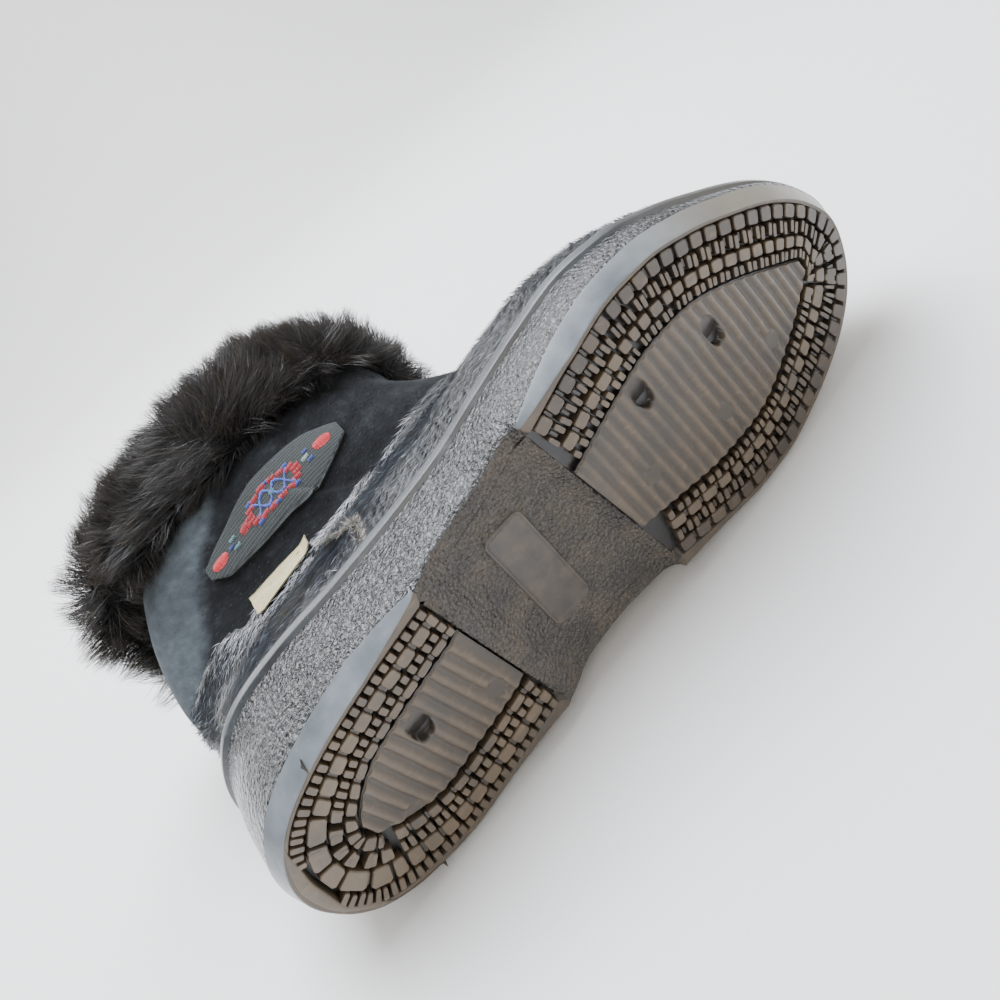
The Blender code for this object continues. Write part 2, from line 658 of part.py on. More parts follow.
def build_fur(collection, cutters, rings):
    normal = smooth_normals(rings)
    collar = rings[-1]
    n = len(collar)
    loops = []
    flat = []
    depths = []
    sags = []
    for i in range(0, n):
        at = collar[i]
        m = normal[-1, i].copy()
        m[2] = 0.0
        m /= np.linalg.norm(m)
        flat.append(m)
        turn = math.atan2(m[1], m[0])
        full = 1.0 + 0.12 * math.sin(2.0 * turn + 0.6) + 0.08 * math.sin(5.0 * turn + 1.0)
        full *= 1.0 + 0.45 * max(-math.cos(turn - 0.45), 0.0) - 0.45 * max(math.cos(turn), 0.0)
        full += 0.05 if i % 2 else -0.05
        depths.append(full)
        sag = 1.0 + 0.04 * math.sin(3.0 * turn) - 0.70 * max(-math.cos(turn), 0.0) ** 1.16
        sag -= 0.35 * max(math.cos(turn), 0.0) ** 2
        sags.append(sag)
        loop = []
        for out, up in zip(FUR_SECTION["out"], FUR_SECTION["up"]):
            height = up * (FUR_RISE if up > 0 else FUR_DROP)
            if up < 0 and out > 0:
                height *= sag
            level = at[2] + height
            skin = skin_at(rings, i, level)
            reach = out * FUR_DEPTH * (full if out > 0.1 else 1.0)
            if 0 < out < 0.1:
                reach = 1.3 * MM
            if -0.30 < out < -0.1:
                reach = -(UPPER_WALL + 1.0 * MM)
            loop.append((skin[0] + reach * m[0], skin[1] + reach * m[1], level))
        reach = -(UPPER_WALL + 1.0 * MM)
        loop.append((at[0] + reach * m[0], at[1] + reach * m[1], at[2] + 0.8 * MM))
        loop.append((at[0] + 0.6 * MM * m[0], at[1] + 0.6 * MM * m[1], at[2] + 0.8 * MM))
        for ring in (rings[-2], rings[-3]):
            level = max(ring[i][2], loop[0][2] + 1.5 * MM)
            skin = skin_at(rings, i, level)
            loop.append((skin[0] + 1.4 * MM * m[0], skin[1] + 1.4 * MM * m[1], level))
        loops.append(loop)
    verts, faces = bridge(loops, closed=True)
    body = add_mesh("fur_cuff", verts, faces, FUR_BROWN, 0.85, collection, smooth=False)

    verts = []
    faces = []
    around = np.concatenate([[0.0], np.cumsum([np.linalg.norm(np.subtract(loops[(i + 1) % n][2], loops[i][2]))
                                               for i in range(n)])])
    rows = len(LOCK_ROWS["corner"])
    for row in range(rows):
        for k in range(LOCKS_PER_ROW):
            wave = math.sin(2.7 * k + 1.9 * row)
            place = (k + (0.5 if row % 2 else 0.0) + 0.16 * wave) / LOCKS_PER_ROW * around[-1]
            i = int(np.searchsorted(around, place % around[-1])) % n
            root = np.array(loops[i][int(LOCK_ROWS["corner"][row])])
            m = flat[i]
            side = np.array([-m[1], m[0], 0.0])
            along = LOCK_ROWS["lead"][row] * m + np.array([0.0, 0.0, LOCK_ROWS["climb"][row]]) + 0.30 * wave * side
            along /= np.linalg.norm(along)
            ridge = np.cross(side, along)
            ridge *= math.copysign(1.0, float(np.dot(ridge, m))) / np.linalg.norm(ridge)
            size = LOCK_LENGTH * LOCK_ROWS["long"][row] * (0.88 + 0.2 * math.sin(1.7 * k + row))
            size *= min(depths[i], 1.0) * (0.45 + 0.55 * sags[i])
            thick = LOCK_DEEP * min(depths[i], 1.0)
            first = len(verts)
            for share, wide, deep in ((-0.20, 0.85, 0.25), (0.45, 1.0, 1.0)):
                spine = root + share * size * along
                for a, b in ((-1.0, -0.35), (1.0, -0.35), (0.12 * wave, 0.65)):
                    corner = spine + 0.5 * LOCK_WIDE * a * wide * side + thick * b * deep * ridge
                    verts.append(clear_of_skin(corner, m, rings, i))
            tip = root + size * along - 0.10 * size * m + 0.15 * size * wave * side
            verts.append(clear_of_skin(tip, m, rings, i))
            faces.append((first + 2, first + 1, first))
            for j in range(3):
                h = (j + 1) % 3
                faces.append((first + j, first + h, first + 3 + h, first + 3 + j))
                faces.append((first + 3 + j, first + 3 + h, first + 6))
    locks = add_mesh("locks", verts, faces, FUR_BROWN, 0.85, cutters, smooth=False)
    join_into(body, locks)
    return body


def clear_of_skin(point, outward, rings, station):
    """Moves a point outwards where it is nearer than 2 mm to the upper's skin."""
    n = len(rings[0])
    near = max(float(np.dot(skin_at(rings, (station + k) % n, point[2]) - point, outward)) for k in (-2, -1, 0, 1, 2))
    return tuple(point + max(near + 2.0 * MM, 0.0) * outward)


def skin_at(rings, station, height):
    """Point of the upper's outer skin at a station, at a height above the floor."""
    column = [ring[station] for ring in rings]
    for a, b in zip(column[1:-1], column[2:]):
        if a[2] <= height <= b[2]:
            t = (height - a[2]) / (b[2] - a[2])
            return (1 - t) * a + t * b
    return column[-1]


# Overlays on the outer side of the shaft: corners as x, a share of the length, and z, a share of
# the collar's height, for the upper and the lower edge of each section
PATCH = {
    "along": (0.094, 0.119, 0.150, 0.190, 0.228, 0.266, 0.302, 0.330, 0.352),
    "lower": (0.598, 0.574, 0.566, 0.560, 0.558, 0.551, 0.562, 0.576, 0.592),
    "upper": (0.616, 0.626, 0.636, 0.651, 0.660, 0.659, 0.654, 0.638, 0.620),
}
LABEL = {
    "along": (0.118, 0.145, 0.171, 0.198, 0.224),
    "lower": (0.477, 0.477, 0.477, 0.477, 0.477),
    "upper": (0.523, 0.519, 0.515, 0.510, 0.506),
}


def overlay(name, table, thick, gap, rows, skin, colour, roughness, collection):
    """A sheet laid on the outer side of the upper, between a lower and an upper edge."""
    tree = BVHTree.FromPolygons([Vector(v) for v in skin[0]], skin[1])
    count = len(table["along"])
    near = []
    far = []
    for i in range(count):
        for r in range(rows + 1):
            t = r / rows
            x = LENGTH * table["along"][i]
            z = COLLAR_HEIGHT * ((1 - t) * table["lower"][i] + t * table["upper"][i])
            hit, _, _, _ = tree.ray_cast(Vector((x, -2.0 * BALL_WIDTH, z)), Vector((0.0, 1.0, 0.0)))
            if hit is None:
                hit, _, _, _ = tree.find_nearest(Vector((x, -0.4 * BALL_WIDTH, z)))
            near.append((x, hit.y - gap, z))
            far.append((x, hit.y - gap - thick, z))
    verts = near + far
    w = rows + 1
    back = count * w
    faces = []
    for s in (0, back):
        for i in range(count - 1):
            for r in range(rows):
                a = s + i * w + r
                faces.append((a, a + 1, a + w + 1, a + w))
    for i in range(count - 1):
        for r in (0, rows):
            a = i * w + r
            faces.append((a, a + w, back + a + w, back + a))
    for i in (0, count - 1):
        for r in range(rows):
            a = i * w + r
            faces.append((a, a + 1, back + a + 1, back + a))
    return add_mesh(name, verts, faces, colour, roughness, collection)


# Resting pose

DENSITY = {"outsole": 1150.0, "insole": 300.0, "upper": 700.0, "vamp": 700.0, "fur_cuff": 180.0,
           "embroidered_patch": 500.0, "label_tab": 500.0}


def mass_centre(bodies):
    """Centre of mass from each piece's volume and density."""
    total = 0.0
    moment = np.zeros(3)
    for body in bodies:
        mesh = body.data
        mesh.calc_loop_triangles()
        co = np.array([v.co[:] for v in mesh.vertices])
        tri = np.array([t.vertices[:] for t in mesh.loop_triangles])
        a, b, c = co[tri[:, 0]], co[tri[:, 1]], co[tri[:, 2]]
        volume = np.einsum("ij,ij->i", a, np.cross(b, c)) / 6.0
        weight = DENSITY[body.name] * volume.sum()
        total += weight
        moment += DENSITY[body.name] * (volume[:, None] * (a + b + c) / 4.0).sum(axis=0)
    return moment / total


def resting_turn(bodies):
    """Rotation that lays the boot on the face of its hull that carries it on the inner side."""
    centre = Vector(mass_centre(bodies))
    bm = bmesh.new()
    for body in bodies:
        for v in body.data.vertices:
            bm.verts.new(v.co)
    result = bmesh.ops.convex_hull(bm, input=bm.verts)
    best = None
    for face in [g for g in result["geom"] if isinstance(g, bmesh.types.BMFace)]:
        normal = face.normal
        corners = [v.co.copy() for v in face.verts]
        middle = (corners[0] + corners[1] + corners[2]) / 3.0
        if normal.dot(middle - centre) < 0:
            normal = -normal
        if normal.y < 0.7:
            continue
        foot = centre + normal * normal.dot(corners[0] - centre)
        margin = min(edge_margin(foot, corners[i], corners[(i + 1) % 3], corners[(i + 2) % 3]) for i in range(3))
        if best is None or margin > best[0]:
            best = (margin, normal.copy())
    bm.free()
    print("resting face: centre of mass inside by", round(best[0] * 1000, 1), "mm; normal", best[1][:])
    down = best[1]
    turn = down.rotation_difference(Vector((0.0, 0.0, -1.0))).to_matrix().to_4x4()
    toe = turn @ Vector((1.0, 0.0, 0.0))
    spin = Matrix.Rotation(-math.atan2(toe.y, toe.x), 4, "Z")
    return spin @ turn


def edge_margin(foot, a, b, opposite):
    """Distance of foot from edge a-b, positive on the side of the opposite corner."""
    edge = (b - a).normalized()
    inward = (opposite - a) - edge * edge.dot(opposite - a)
    return inward.normalized().dot(foot - a)


def main():
    for body in list(bpy.data.objects):
        bpy.data.objects.remove(body, do_unlink=True)
    scene = bpy.context.scene
    boot = bpy.data.collections.new("apres_ski_boot")
    cutters = bpy.data.collections.new("fused_parts")
    scene.collection.children.link(boot)
    scene.collection.children.link(cutters)

    outsole = build_outsole(boot, cutters)
    insole = build_insole(boot)
    upper, rings, skin = build_upper(boot)
    vamp = build_vamp(boot, rings)
    fur = build_fur(boot, cutters, rings)
    patch = overlay("embroidered_patch", PATCH, PATCH_THICK, 1.0 * MM, 4, skin, BAND_GREY, 0.9, boot)
    label = overlay("label_tab", LABEL, LABEL_THICK, 0.8 * MM, 2, skin, LABEL_CREAM, 0.7, boot)
    bodies = [outsole, insole, upper, vamp, fur, patch, label]
    for helper in list(cutters.objects):
        bpy.data.objects.remove(helper, do_unlink=True)

    turn = resting_turn(bodies)
    for body in bodies:
        body.data.transform(turn)
    points = np.array([v.co[:] for body in bodies for v in body.data.vertices])
    low = points.min(axis=0)
    high = points.max(axis=0)
    shift = Vector((-0.5 * (low[0] + high[0]), -0.5 * (low[1] + high[1]), -low[2]))
    for body in bodies:
        body.data.transform(Matrix.Translation(shift))
        body.data.update()
    print("turn", [[round(v, 6) for v in row] for row in turn], "shift", shift[:])
    print("size mm", ((high - low) * 1000).round(1), "lugs", len(lug_columns()))
    total = 0
    for body in bodies:
        body.data.calc_loop_triangles()
        total += len(body.data.loop_triangles)
        print(body.name, len(body.data.loop_triangles))
    print("triangles", total)


main()
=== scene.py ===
"""Apres-ski boot for the right foot, lying on its inner side on a pale floor.

Surfaces are worked out as the boot stands, with x from the back of the heel to the toe, y towards
the inner side and z up from the tread, and are then laid down by TURN and SHIFT. Lengths are metres.
"""
import json
import math

import bpy
import numpy as np
from mathutils import Matrix, Vector
from mathutils.bvhtree import BVHTree

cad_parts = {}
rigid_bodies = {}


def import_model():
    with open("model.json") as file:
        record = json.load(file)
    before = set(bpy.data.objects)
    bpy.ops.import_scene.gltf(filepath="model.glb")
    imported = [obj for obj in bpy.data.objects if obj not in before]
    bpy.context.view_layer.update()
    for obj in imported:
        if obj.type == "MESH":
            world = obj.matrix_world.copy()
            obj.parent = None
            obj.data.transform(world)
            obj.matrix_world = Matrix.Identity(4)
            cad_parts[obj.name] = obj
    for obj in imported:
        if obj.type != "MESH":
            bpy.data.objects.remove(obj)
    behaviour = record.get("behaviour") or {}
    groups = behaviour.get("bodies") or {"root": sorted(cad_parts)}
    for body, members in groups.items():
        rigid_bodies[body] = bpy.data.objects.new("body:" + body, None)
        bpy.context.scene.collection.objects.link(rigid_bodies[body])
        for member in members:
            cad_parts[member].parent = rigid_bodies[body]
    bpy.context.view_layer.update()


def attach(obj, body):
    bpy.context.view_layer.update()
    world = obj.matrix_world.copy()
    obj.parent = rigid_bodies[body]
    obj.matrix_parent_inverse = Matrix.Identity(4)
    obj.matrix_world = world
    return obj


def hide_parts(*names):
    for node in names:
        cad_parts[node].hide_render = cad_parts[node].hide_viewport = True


bl_info = {
    "name": "Apres-Ski Boot",
    "version": (1, 0, 0),
    "blender": (4, 5, 0),
    "location": "View3D > Sidebar > Boot",
    "description": "Builds a fur-cuffed winter boot with a lugged rubber sole",
    "category": "Add Mesh",
}

for leftover in list(bpy.data.objects):
    bpy.data.objects.remove(leftover, do_unlink=True)
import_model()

MM = 0.001
LENGTH = 275 * MM
BALL_WIDTH = 105 * MM
COLLAR_HEIGHT = 168 * MM
SOLE_SIDE = 33 * MM
TOE_SPRING = 17 * MM
SPRING_START = 0.52
UPPER_WALL = 2.5 * MM
GAP = 0.3 * MM
CUP_WALL = 4.5 * MM
CHAMFER_OUT = 4.0 * MM
CHAMFER_UP = 7.5 * MM
LIP_HEIGHT = 6.5 * MM
LIP_OUT = 0.9 * MM
TREAD_DEPTH = 5.2 * MM
LUG_FLOOR = 3.4 * MM
BED_HEIGHT = 13.5 * MM
HEEL_BREAST = (0.297, 0.322)
FORE_BREAST = (0.506, 0.545)
WAIST_START = (0.2997, 0.3229)
WAIST_END = (0.4990, 0.5252)
RIB_PITCH = 4.43 * MM
HEEL_RIB_SKEW = 0.135
HEEL_PAD_INSET = 0.210
FORE_PAD_INSET = 0.262
LUG_PITCH = 7.0 * MM
FUR_DROP = 40 * MM
FUR_RISE = 11 * MM
FUR_DEPTH = 14 * MM

# Standing to lying
TURN = np.array(((0.997501, 0.069776, -0.011082), (0.0, 0.156855, 0.987622), (0.07065, -0.985154, 0.156463)))
SHIFT = np.array((-0.118962, -0.088458, 0.032263))

OUTLINE = {
    "along": (0.000, 0.005, 0.020, 0.050, 0.100, 0.170, 0.250, 0.330, 0.420, 0.500,
              0.580, 0.660, 0.730, 0.800, 0.870, 0.930, 0.970, 0.990, 1.000),
    "outer": (0.019, -0.066, -0.144, -0.224, -0.286, -0.333, -0.362, -0.384, -0.414, -0.464,
              -0.512, -0.541, -0.520, -0.452, -0.345, -0.229, -0.112, -0.019, 0.086),
    "inner": (0.019, 0.100, 0.190, 0.272, 0.326, 0.354, 0.341, 0.322, 0.310, 0.338,
              0.392, 0.446, 0.463, 0.446, 0.411, 0.352, 0.271, 0.190, 0.086),
}
SIDE_TOP = {
    "along": (0.00, 0.06, 0.15, 0.25, 0.50, 0.66, 0.85, 1.00),
    "height": (1.40, 1.36, 1.22, 1.08, 0.95, 0.84, 0.60, 0.44),
    "flare": (0.15, 0.13, 0.08, 0.04, 0.01, 0.00, 0.00, 0.00),
}
RING_COLUMNS = ("back", "front", "low", "high", "sag", "wide", "round", "oval", "lean")
RINGS = [dict(zip(RING_COLUMNS, row)) for row in (
    (0.001, 0.982, 0.305, 0.210, 1.0, 0.985, 0.400, 0.00, 0.000),
    (-0.003, 0.955, 0.335, 0.280, 1.0, 0.940, 0.400, 0.00, 0.000),
    (-0.012, 0.908, 0.375, 0.345, 1.0, 0.855, 0.400, 0.04, -0.020),
    (-0.025, 0.840, 0.418, 0.400, 1.1, 0.755, 0.390, 0.14, -0.035),
    (-0.038, 0.750, 0.465, 0.455, 1.2, 0.665, 0.380, 0.32, -0.045),
    (-0.054, 0.640, 0.522, 0.520, 1.3, 0.610, 0.380, 0.55, -0.035),
    (-0.063, 0.540, 0.590, 0.600, 1.4, 0.640, 0.400, 0.80, -0.005),
    (-0.062, 0.468, 0.690, 0.710, 1.3, 0.720, 0.435, 1.00, 0.030),
    (-0.052, 0.446, 0.810, 0.855, 1.2, 0.800, 0.455, 1.00, 0.062),
    (-0.036, 0.441, 0.915, 1.000, 1.0, 0.800, 0.460, 1.00, 0.088),
)]
HIDE_TOP = {
    "station": (0.00, 0.30, 0.50, 0.70, 0.85, 1.00),
    "level": (6.10, 6.20, 6.30, 6.75, 7.40, 7.85),
}
PATCH = {
    "along": (0.094, 0.119, 0.150, 0.190, 0.228, 0.266, 0.302, 0.330, 0.352),
    "lower": (0.598, 0.574, 0.566, 0.560, 0.558, 0.551, 0.562, 0.576, 0.592),
    "upper": (0.616, 0.626, 0.636, 0.651, 0.660, 0.659, 0.654, 0.638, 0.620),
}
LABEL = {
    "along": (0.118, 0.145, 0.171, 0.198, 0.224),
    "lower": (0.477, 0.477, 0.477, 0.477, 0.477),
    "upper": (0.523, 0.519, 0.515, 0.510, 0.506),
}

# Top edge of the quarter's hair hide: share of the length, height as a share of the collar's
QUARTER_TOP = {
    "along": (-0.070, 0.015, 0.061, 0.092, 0.136, 0.175, 0.213, 0.300),
    "height": (0.530, 0.526, 0.521, 0.500, 0.502, 0.488, 0.489, 0.489),
}

# Rear cut edge of the vamp, as a share of the stations at the lip and at its top
VAMP_EDGE = (0.288, 0.348)

# Front limit of the slate suede: height as a share of the collar's, place as a share of the length
SLATE_EDGE = {
    "height": (0.500, 0.550, 0.628, 0.679, 0.750, 0.850),
    "along": (-0.010, 0.035, 0.081, 0.142, 0.190, 0.220),
}

# Creases of the hide on the outer and inner side: ends as shares of the length and of the
# collar's height, width and depth in millimetres; a negative depth is a ridge
CREASES = (
    {"x0": 0.300, "z0": 0.560, "x1": 0.445, "z1": 0.640, "wide": 4.0, "deep": 1.0},
    {"x0": 0.330, "z0": 0.520, "x1": 0.470, "z1": 0.560, "wide": 5.0, "deep": -0.8},
    {"x0": 0.240, "z0": 0.520, "x1": 0.460, "z1": 0.500, "wide": 4.0, "deep": 0.8},
    {"x0": 0.000, "z0": 0.600, "x1": 0.110, "z1": 0.560, "wide": 5.0, "deep": 0.9},
    {"x0": -0.030, "z0": 0.540, "x1": 0.090, "z1": 0.520, "wide": 5.0, "deep": -0.6},
    {"x0": 0.400, "z0": 0.700, "x1": 0.450, "z1": 0.600, "wide": 6.0, "deep": 0.8},
    {"x0": 0.560, "z0": 0.420, "x1": 0.640, "z1": 0.260, "wide": 5.0, "deep": 0.7},
    {"x0": 0.600, "z0": 0.400, "x1": 0.680, "z1": 0.250, "wide": 5.0, "deep": -0.5},
)

# Lugs of one cell of the tread: reach across the band from the sole's edge to the pad's groove
# and along the pitch, both as shares, then depth below the tread plane in millimetres and wear
LUGS = {
    "heel": (
        (0.00, 0.20, -0.42, -0.08, 0.05, 0.45),
        (0.00, 0.22, 0.05, 0.40, 0.12, 0.45),
        (0.24, 0.53, 0.10, 0.91, 0.00, 0.75),
        (0.27, 0.50, -0.09, 0.09, 0.90, 0.20),
        (0.57, 0.76, -0.42, -0.09, 0.05, 0.55),
        (0.56, 0.78, 0.08, 0.42, 0.10, 0.55),
        (0.81, 1.00, 0.12, 0.90, 0.10, 0.50),
        (0.82, 0.99, -0.09, 0.10, 0.80, 0.20),
    ),
    "fore": (
        (0.00, 0.25, -0.40, 0.38, 0.12, 0.10),
        (0.03, 0.21, 0.41, 0.57, 1.30, 0.00),
        (0.28, 0.51, 0.06, 0.34, 0.05, 0.30),
        (0.31, 0.55, 0.45, 0.74, 0.10, 0.30),
        (0.29, 0.46, -0.18, -0.02, 1.00, 0.10),
        (0.58, 0.79, -0.40, 0.38, 0.00, 0.62),
        (0.61, 0.77, 0.41, 0.57, 0.90, 0.20),
        (0.82, 1.00, 0.05, 0.36, 0.00, 0.45),
        (0.84, 1.00, 0.47, 0.80, 0.12, 0.45),
    ),
}
BAND_START = 5.7 * MM

# Smooth worn crescent at the back of the heel: its front limit, in millimetres
WORN_EDGE = {
    "across": (-31.0, -18.8, -8.9, 2.0, 11.4, 24.3, 35.0),
    "along": (21.0, 13.7, 10.7, 9.2, 9.1, 16.6, 27.0),
}


# Shape functions

def curve(xs, ys, at):
    """Smooth curve through a table's rows, with no overshoot between two rows."""
    xs = np.asarray(xs, float)
    ys = np.asarray(ys, float)
    at = np.clip(np.asarray(at, float), xs[0], xs[-1])
    step = np.diff(xs)
    slope = np.diff(ys) / step
    lean = np.zeros(len(xs))
    lean[0] = slope[0]
    lean[-1] = slope[-1]
    for i in range(1, len(xs) - 1):
        if slope[i - 1] * slope[i] > 0:
            w1 = 2 * step[i] + step[i - 1]
            w2 = step[i] + 2 * step[i - 1]
            lean[i] = (w1 + w2) / (w1 / slope[i - 1] + w2 / slope[i])
    k = np.clip(np.searchsorted(xs, at, side="right") - 1, 0, len(xs) - 2)
    t = (at - xs[k]) / step[k]
    h = step[k]
    return ((1 + 2 * t) * (1 - t) ** 2 * ys[k] + t * (1 - t) ** 2 * h * lean[k]
            + t * t * (3 - 2 * t) * ys[k + 1] + t * t * (t - 1) * h * lean[k + 1])


def smooth(value):
    t = np.clip(value, 0.0, 1.0)
    return t * t * (3.0 - 2.0 * t)


def angle_of(share):
    return np.arccos(np.clip(1.0 - 2.0 * np.asarray(share, float), -1.0, 1.0))


def side_edge(share, side):
    return BALL_WIDTH * curve(angle_of(OUTLINE["along"]), OUTLINE[side], angle_of(share))


def rise(x):
    s = np.clip((np.asarray(x, float) / LENGTH - SPRING_START) / (1.0 - SPRING_START), 0.0, 1.1)
    return TOE_SPRING * s * s


def side_top(x):
    return SOLE_SIDE * curve(SIDE_TOP["along"], SIDE_TOP["height"], np.clip(x / LENGTH, 0, 1))


def side_flare(x):
    return SOLE_SIDE * curve(SIDE_TOP["along"], SIDE_TOP["flare"], np.clip(x / LENGTH, 0, 1))


def lay(points):
    """Points of the standing boot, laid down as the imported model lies."""
    return np.asarray(points, float).reshape(-1, 3) @ TURN.T + SHIFT


def waves(p, scale, seed=0.0):
    """Soft deterministic unevenness between -1 and 1; scale is the size of a bump."""
    q = np.asarray(p, float) / scale
    total = np.zeros(q.shape[:-1])
    for k, (a, b, c) in enumerate(((1.0, 0.37, 0.61), (-0.53, 1.13, 0.29), (0.41, -0.67, 1.21), (0.83, 0.71, -0.47))):
        total = total + np.sin(2.3 * (a * q[..., 0] + b * q[..., 1] + c * q[..., 2]) + 1.7 * k + seed)
    return total / 4.0


def outline(count, inset=0.0):
    """Closed outline of the sole, evenly spaced from the heel round the outer side to the toe."""
    t = np.linspace(0.0, 2.0 * math.pi, 6001)
    share = 0.5 * (1.0 - np.cos(t))
    y = np.where(t <= math.pi, side_edge(share, "outer"), side_edge(share, "inner"))
    path = np.stack([share * LENGTH, y], 1)
    arc = np.concatenate([[0.0], np.cumsum(np.linalg.norm(np.diff(path, axis=0), axis=1))])
    at = np.linspace(0.0, arc[-1], count + 1)[:-1]
    points = np.stack([np.interp(at, arc, path[:, 0]), np.interp(at, arc, path[:, 1])], 1)
    reach = max(count // 160, 1)
    tangent = np.roll(points, -reach, axis=0) - np.roll(points, reach, axis=0)
    tangent /= np.linalg.norm(tangent, axis=1)[:, None]
    inward = np.stack([-tangent[:, 1], tangent[:, 0]], 1)
    return points + inset * inward, tangent, inward


def breast_lines(y):
    """Where heel and forefoot end towards the waist, across the sole."""
    across = np.clip((np.asarray(y, float) + 0.42 * BALL_WIDTH) / (0.7 * BALL_WIDTH), 0.0, 1.0)
    heel = LENGTH * (WAIST_START[0] + (WAIST_START[1] - WAIST_START[0]) * across)
    fore = LENGTH * (WAIST_END[0] + (WAIST_END[1] - WAIST_END[0]) * across)
    return heel, fore


def breasts(x, y):
    """Distance past the heel's breast line and before the forefoot's: both positive in the waist."""
    heel, fore = breast_lines(y)
    return x - heel, fore - x


def waist_depth(x, y):
    """Depth of the waist's floor: it slopes down from the heel and meets the forefoot at a step."""
    heel, fore = breasts(x, y)
    return TREAD_DEPTH * (0.25 + 0.75 * smooth(heel / (16 * MM))) * (0.6 + 0.4 * smooth(fore / (6 * MM)))


def grid_faces(rows, columns, close_rows=False, close_columns=False):
    r = np.arange(rows if close_rows else rows - 1)
    c = np.arange(columns if close_columns else columns - 1)
    a, b = np.meshgrid(r, c, indexing="ij")
    a2 = (a + 1) % rows
    b2 = (b + 1) % columns
    return np.stack([a * columns + b, a * columns + b2, a2 * columns + b2, a2 * columns + b], -1).reshape(-1, 4)


def make_mesh(name, verts, faces, materials, smooth_shade=True, values=None, slots=None, laid=False):
    """Mesh from arrays: faces is a list of arrays, each with one count of corners."""
    faces = [np.asarray(f, int) for f in faces if len(f)]
    points = np.asarray(verts, float).reshape(-1, 3) if laid else lay(verts)
    corners = np.concatenate([f.ravel() for f in faces]).astype(np.int32)
    counts = np.concatenate([np.full(len(f), f.shape[1]) for f in faces])
    starts = np.concatenate([[0], np.cumsum(counts)[:-1]]).astype(np.int32)
    mesh = bpy.data.meshes.new(name)
    mesh.vertices.add(len(points))
    mesh.vertices.foreach_set("co", points.astype(np.float32).ravel())
    mesh.loops.add(len(corners))
    mesh.loops.foreach_set("vertex_index", corners)
    mesh.polygons.add(len(counts))
    mesh.polygons.foreach_set("loop_start", starts)
    mesh.polygons.foreach_set("use_smooth", np.full(len(counts), smooth_shade))
    for material in materials if isinstance(materials, (list, tuple)) else [materials]:
        mesh.materials.append(material)
    if slots is not None:
        mesh.polygons.foreach_set("material_index", np.asarray(slots, np.int32))
    for label, data in (values or {}).items():
        layer = mesh.attributes.new(label, "FLOAT", "POINT")
        layer.data.foreach_set("value", np.asarray(data, np.float32).ravel())
    mesh.update(calc_edges=True)
    if mesh.validate():
        mesh.update(calc_edges=True)
    body = bpy.data.objects.new(name, mesh)
    bpy.context.scene.collection.objects.link(body)
    return body


def place(body, node):
    """The piece rides on the boot and, when a node is given, stands in for that part, which is hidden."""
    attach(body, "root")
    if node:
        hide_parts(node)
    return body


# Materials

def srgb(code):
    """Linear colour of an sRGB hex code."""
    out = []
    for k in (0, 2, 4):
        c = int(code[k:k + 2], 16) / 255.0
        out.append(c / 12.92 if c <= 0.04045 else ((c + 0.055) / 1.055) ** 2.4)
    return (*out, 1.0)


def chosen(name):
    """Linear colour that the sidebar holds under this name."""
    return (*getattr(bpy.context.scene.boot_colours, name), 1.0)


def add(tree, kind, inputs=None, out=0, stops=None, **settings):
    """One node with its settings and links; gives the output that is asked for."""
    node = tree.nodes.new("ShaderNode" + kind)
    for key, value in settings.items():
        setattr(node, key, value)
    for key, value in (inputs or {}).items():
        if isinstance(value, bpy.types.NodeSocket):
            tree.links.new(value, node.inputs[key])
        else:
            node.inputs[key].default_value = value
    for k, (at, colour) in enumerate(stops or ()):
        if k >= len(node.color_ramp.elements):
            node.color_ramp.elements.new(at)
        node.color_ramp.elements[k].position = at
        node.color_ramp.elements[k].color = colour
    return node.outputs[out] if len(node.outputs) else node


def surface_named(name):
    """New empty material and its tree."""
    surface = bpy.data.materials.new(name)
    surface.use_nodes = True
    surface.node_tree.nodes.clear()
    return surface, surface.node_tree


# Compression-moulded rubber with a spark-eroded grain: black pebbles about 1.5 mm across whose
# wet-looking crests glint, with a little grey dust left between them
def moulded_rubber_pebbled():
    surface, tree = surface_named("moulded_rubber_pebbled")
    at = add(tree, "NewGeometry", out="Position")
    cells = add(tree, "TexVoronoi", {"Vector": at, "Scale": 640.0, "Smoothness": 0.5}, "Distance", feature="SMOOTH_F1")
    worm = add(tree, "TexNoise", {"Vector": at, "Scale": 620.0, "Detail": 2.0, "Distortion": 1.6}, "Fac")
    grain = add(tree, "Math", {0: cells, 1: 0.8, 2: worm}, operation="MULTIPLY_ADD")
    fine = add(tree, "TexNoise", {"Vector": at, "Scale": 2800.0, "Detail": 2.0}, "Fac")
    dust = add(tree, "TexNoise", {"Vector": at, "Scale": 110.0, "Detail": 4.0, "Roughness": 0.6}, "Fac")
    relief = add(tree, "Bump", {"Height": grain, "Distance": 0.75 * MM}, "Normal")
    relief = add(tree, "Bump", {"Height": fine, "Distance": 0.05 * MM, "Normal": relief}, "Normal")
    valley = add(tree, "MapRange", {"Value": grain, "From Min": 0.55, "From Max": 1.0})
    cloud = add(tree, "MapRange", {"Value": dust, "From Min": 0.42, "From Max": 0.70})
    amount = add(tree, "Math", {0: valley, 1: cloud}, operation="MULTIPLY")
    base = add(tree, "Mix", {0: amount, 6: chosen("rubber"), 7: srgb("3C3E40")}, 2, data_type="RGBA")
    shine = add(tree, "MapRange", {"Value": dust, "From Min": 0.3, "From Max": 0.75, "To Min": 0.17, "To Max": 0.30})
    shader = add(tree, "BsdfPrincipled", {"Base Color": base, "Roughness": shine, "IOR": 1.52, "Normal": relief,
                                          "Coat Weight": 0.6, "Coat Roughness": 0.08, "Coat Normal": relief})
    add(tree, "OutputMaterial", {"Surface": shader})
    return surface


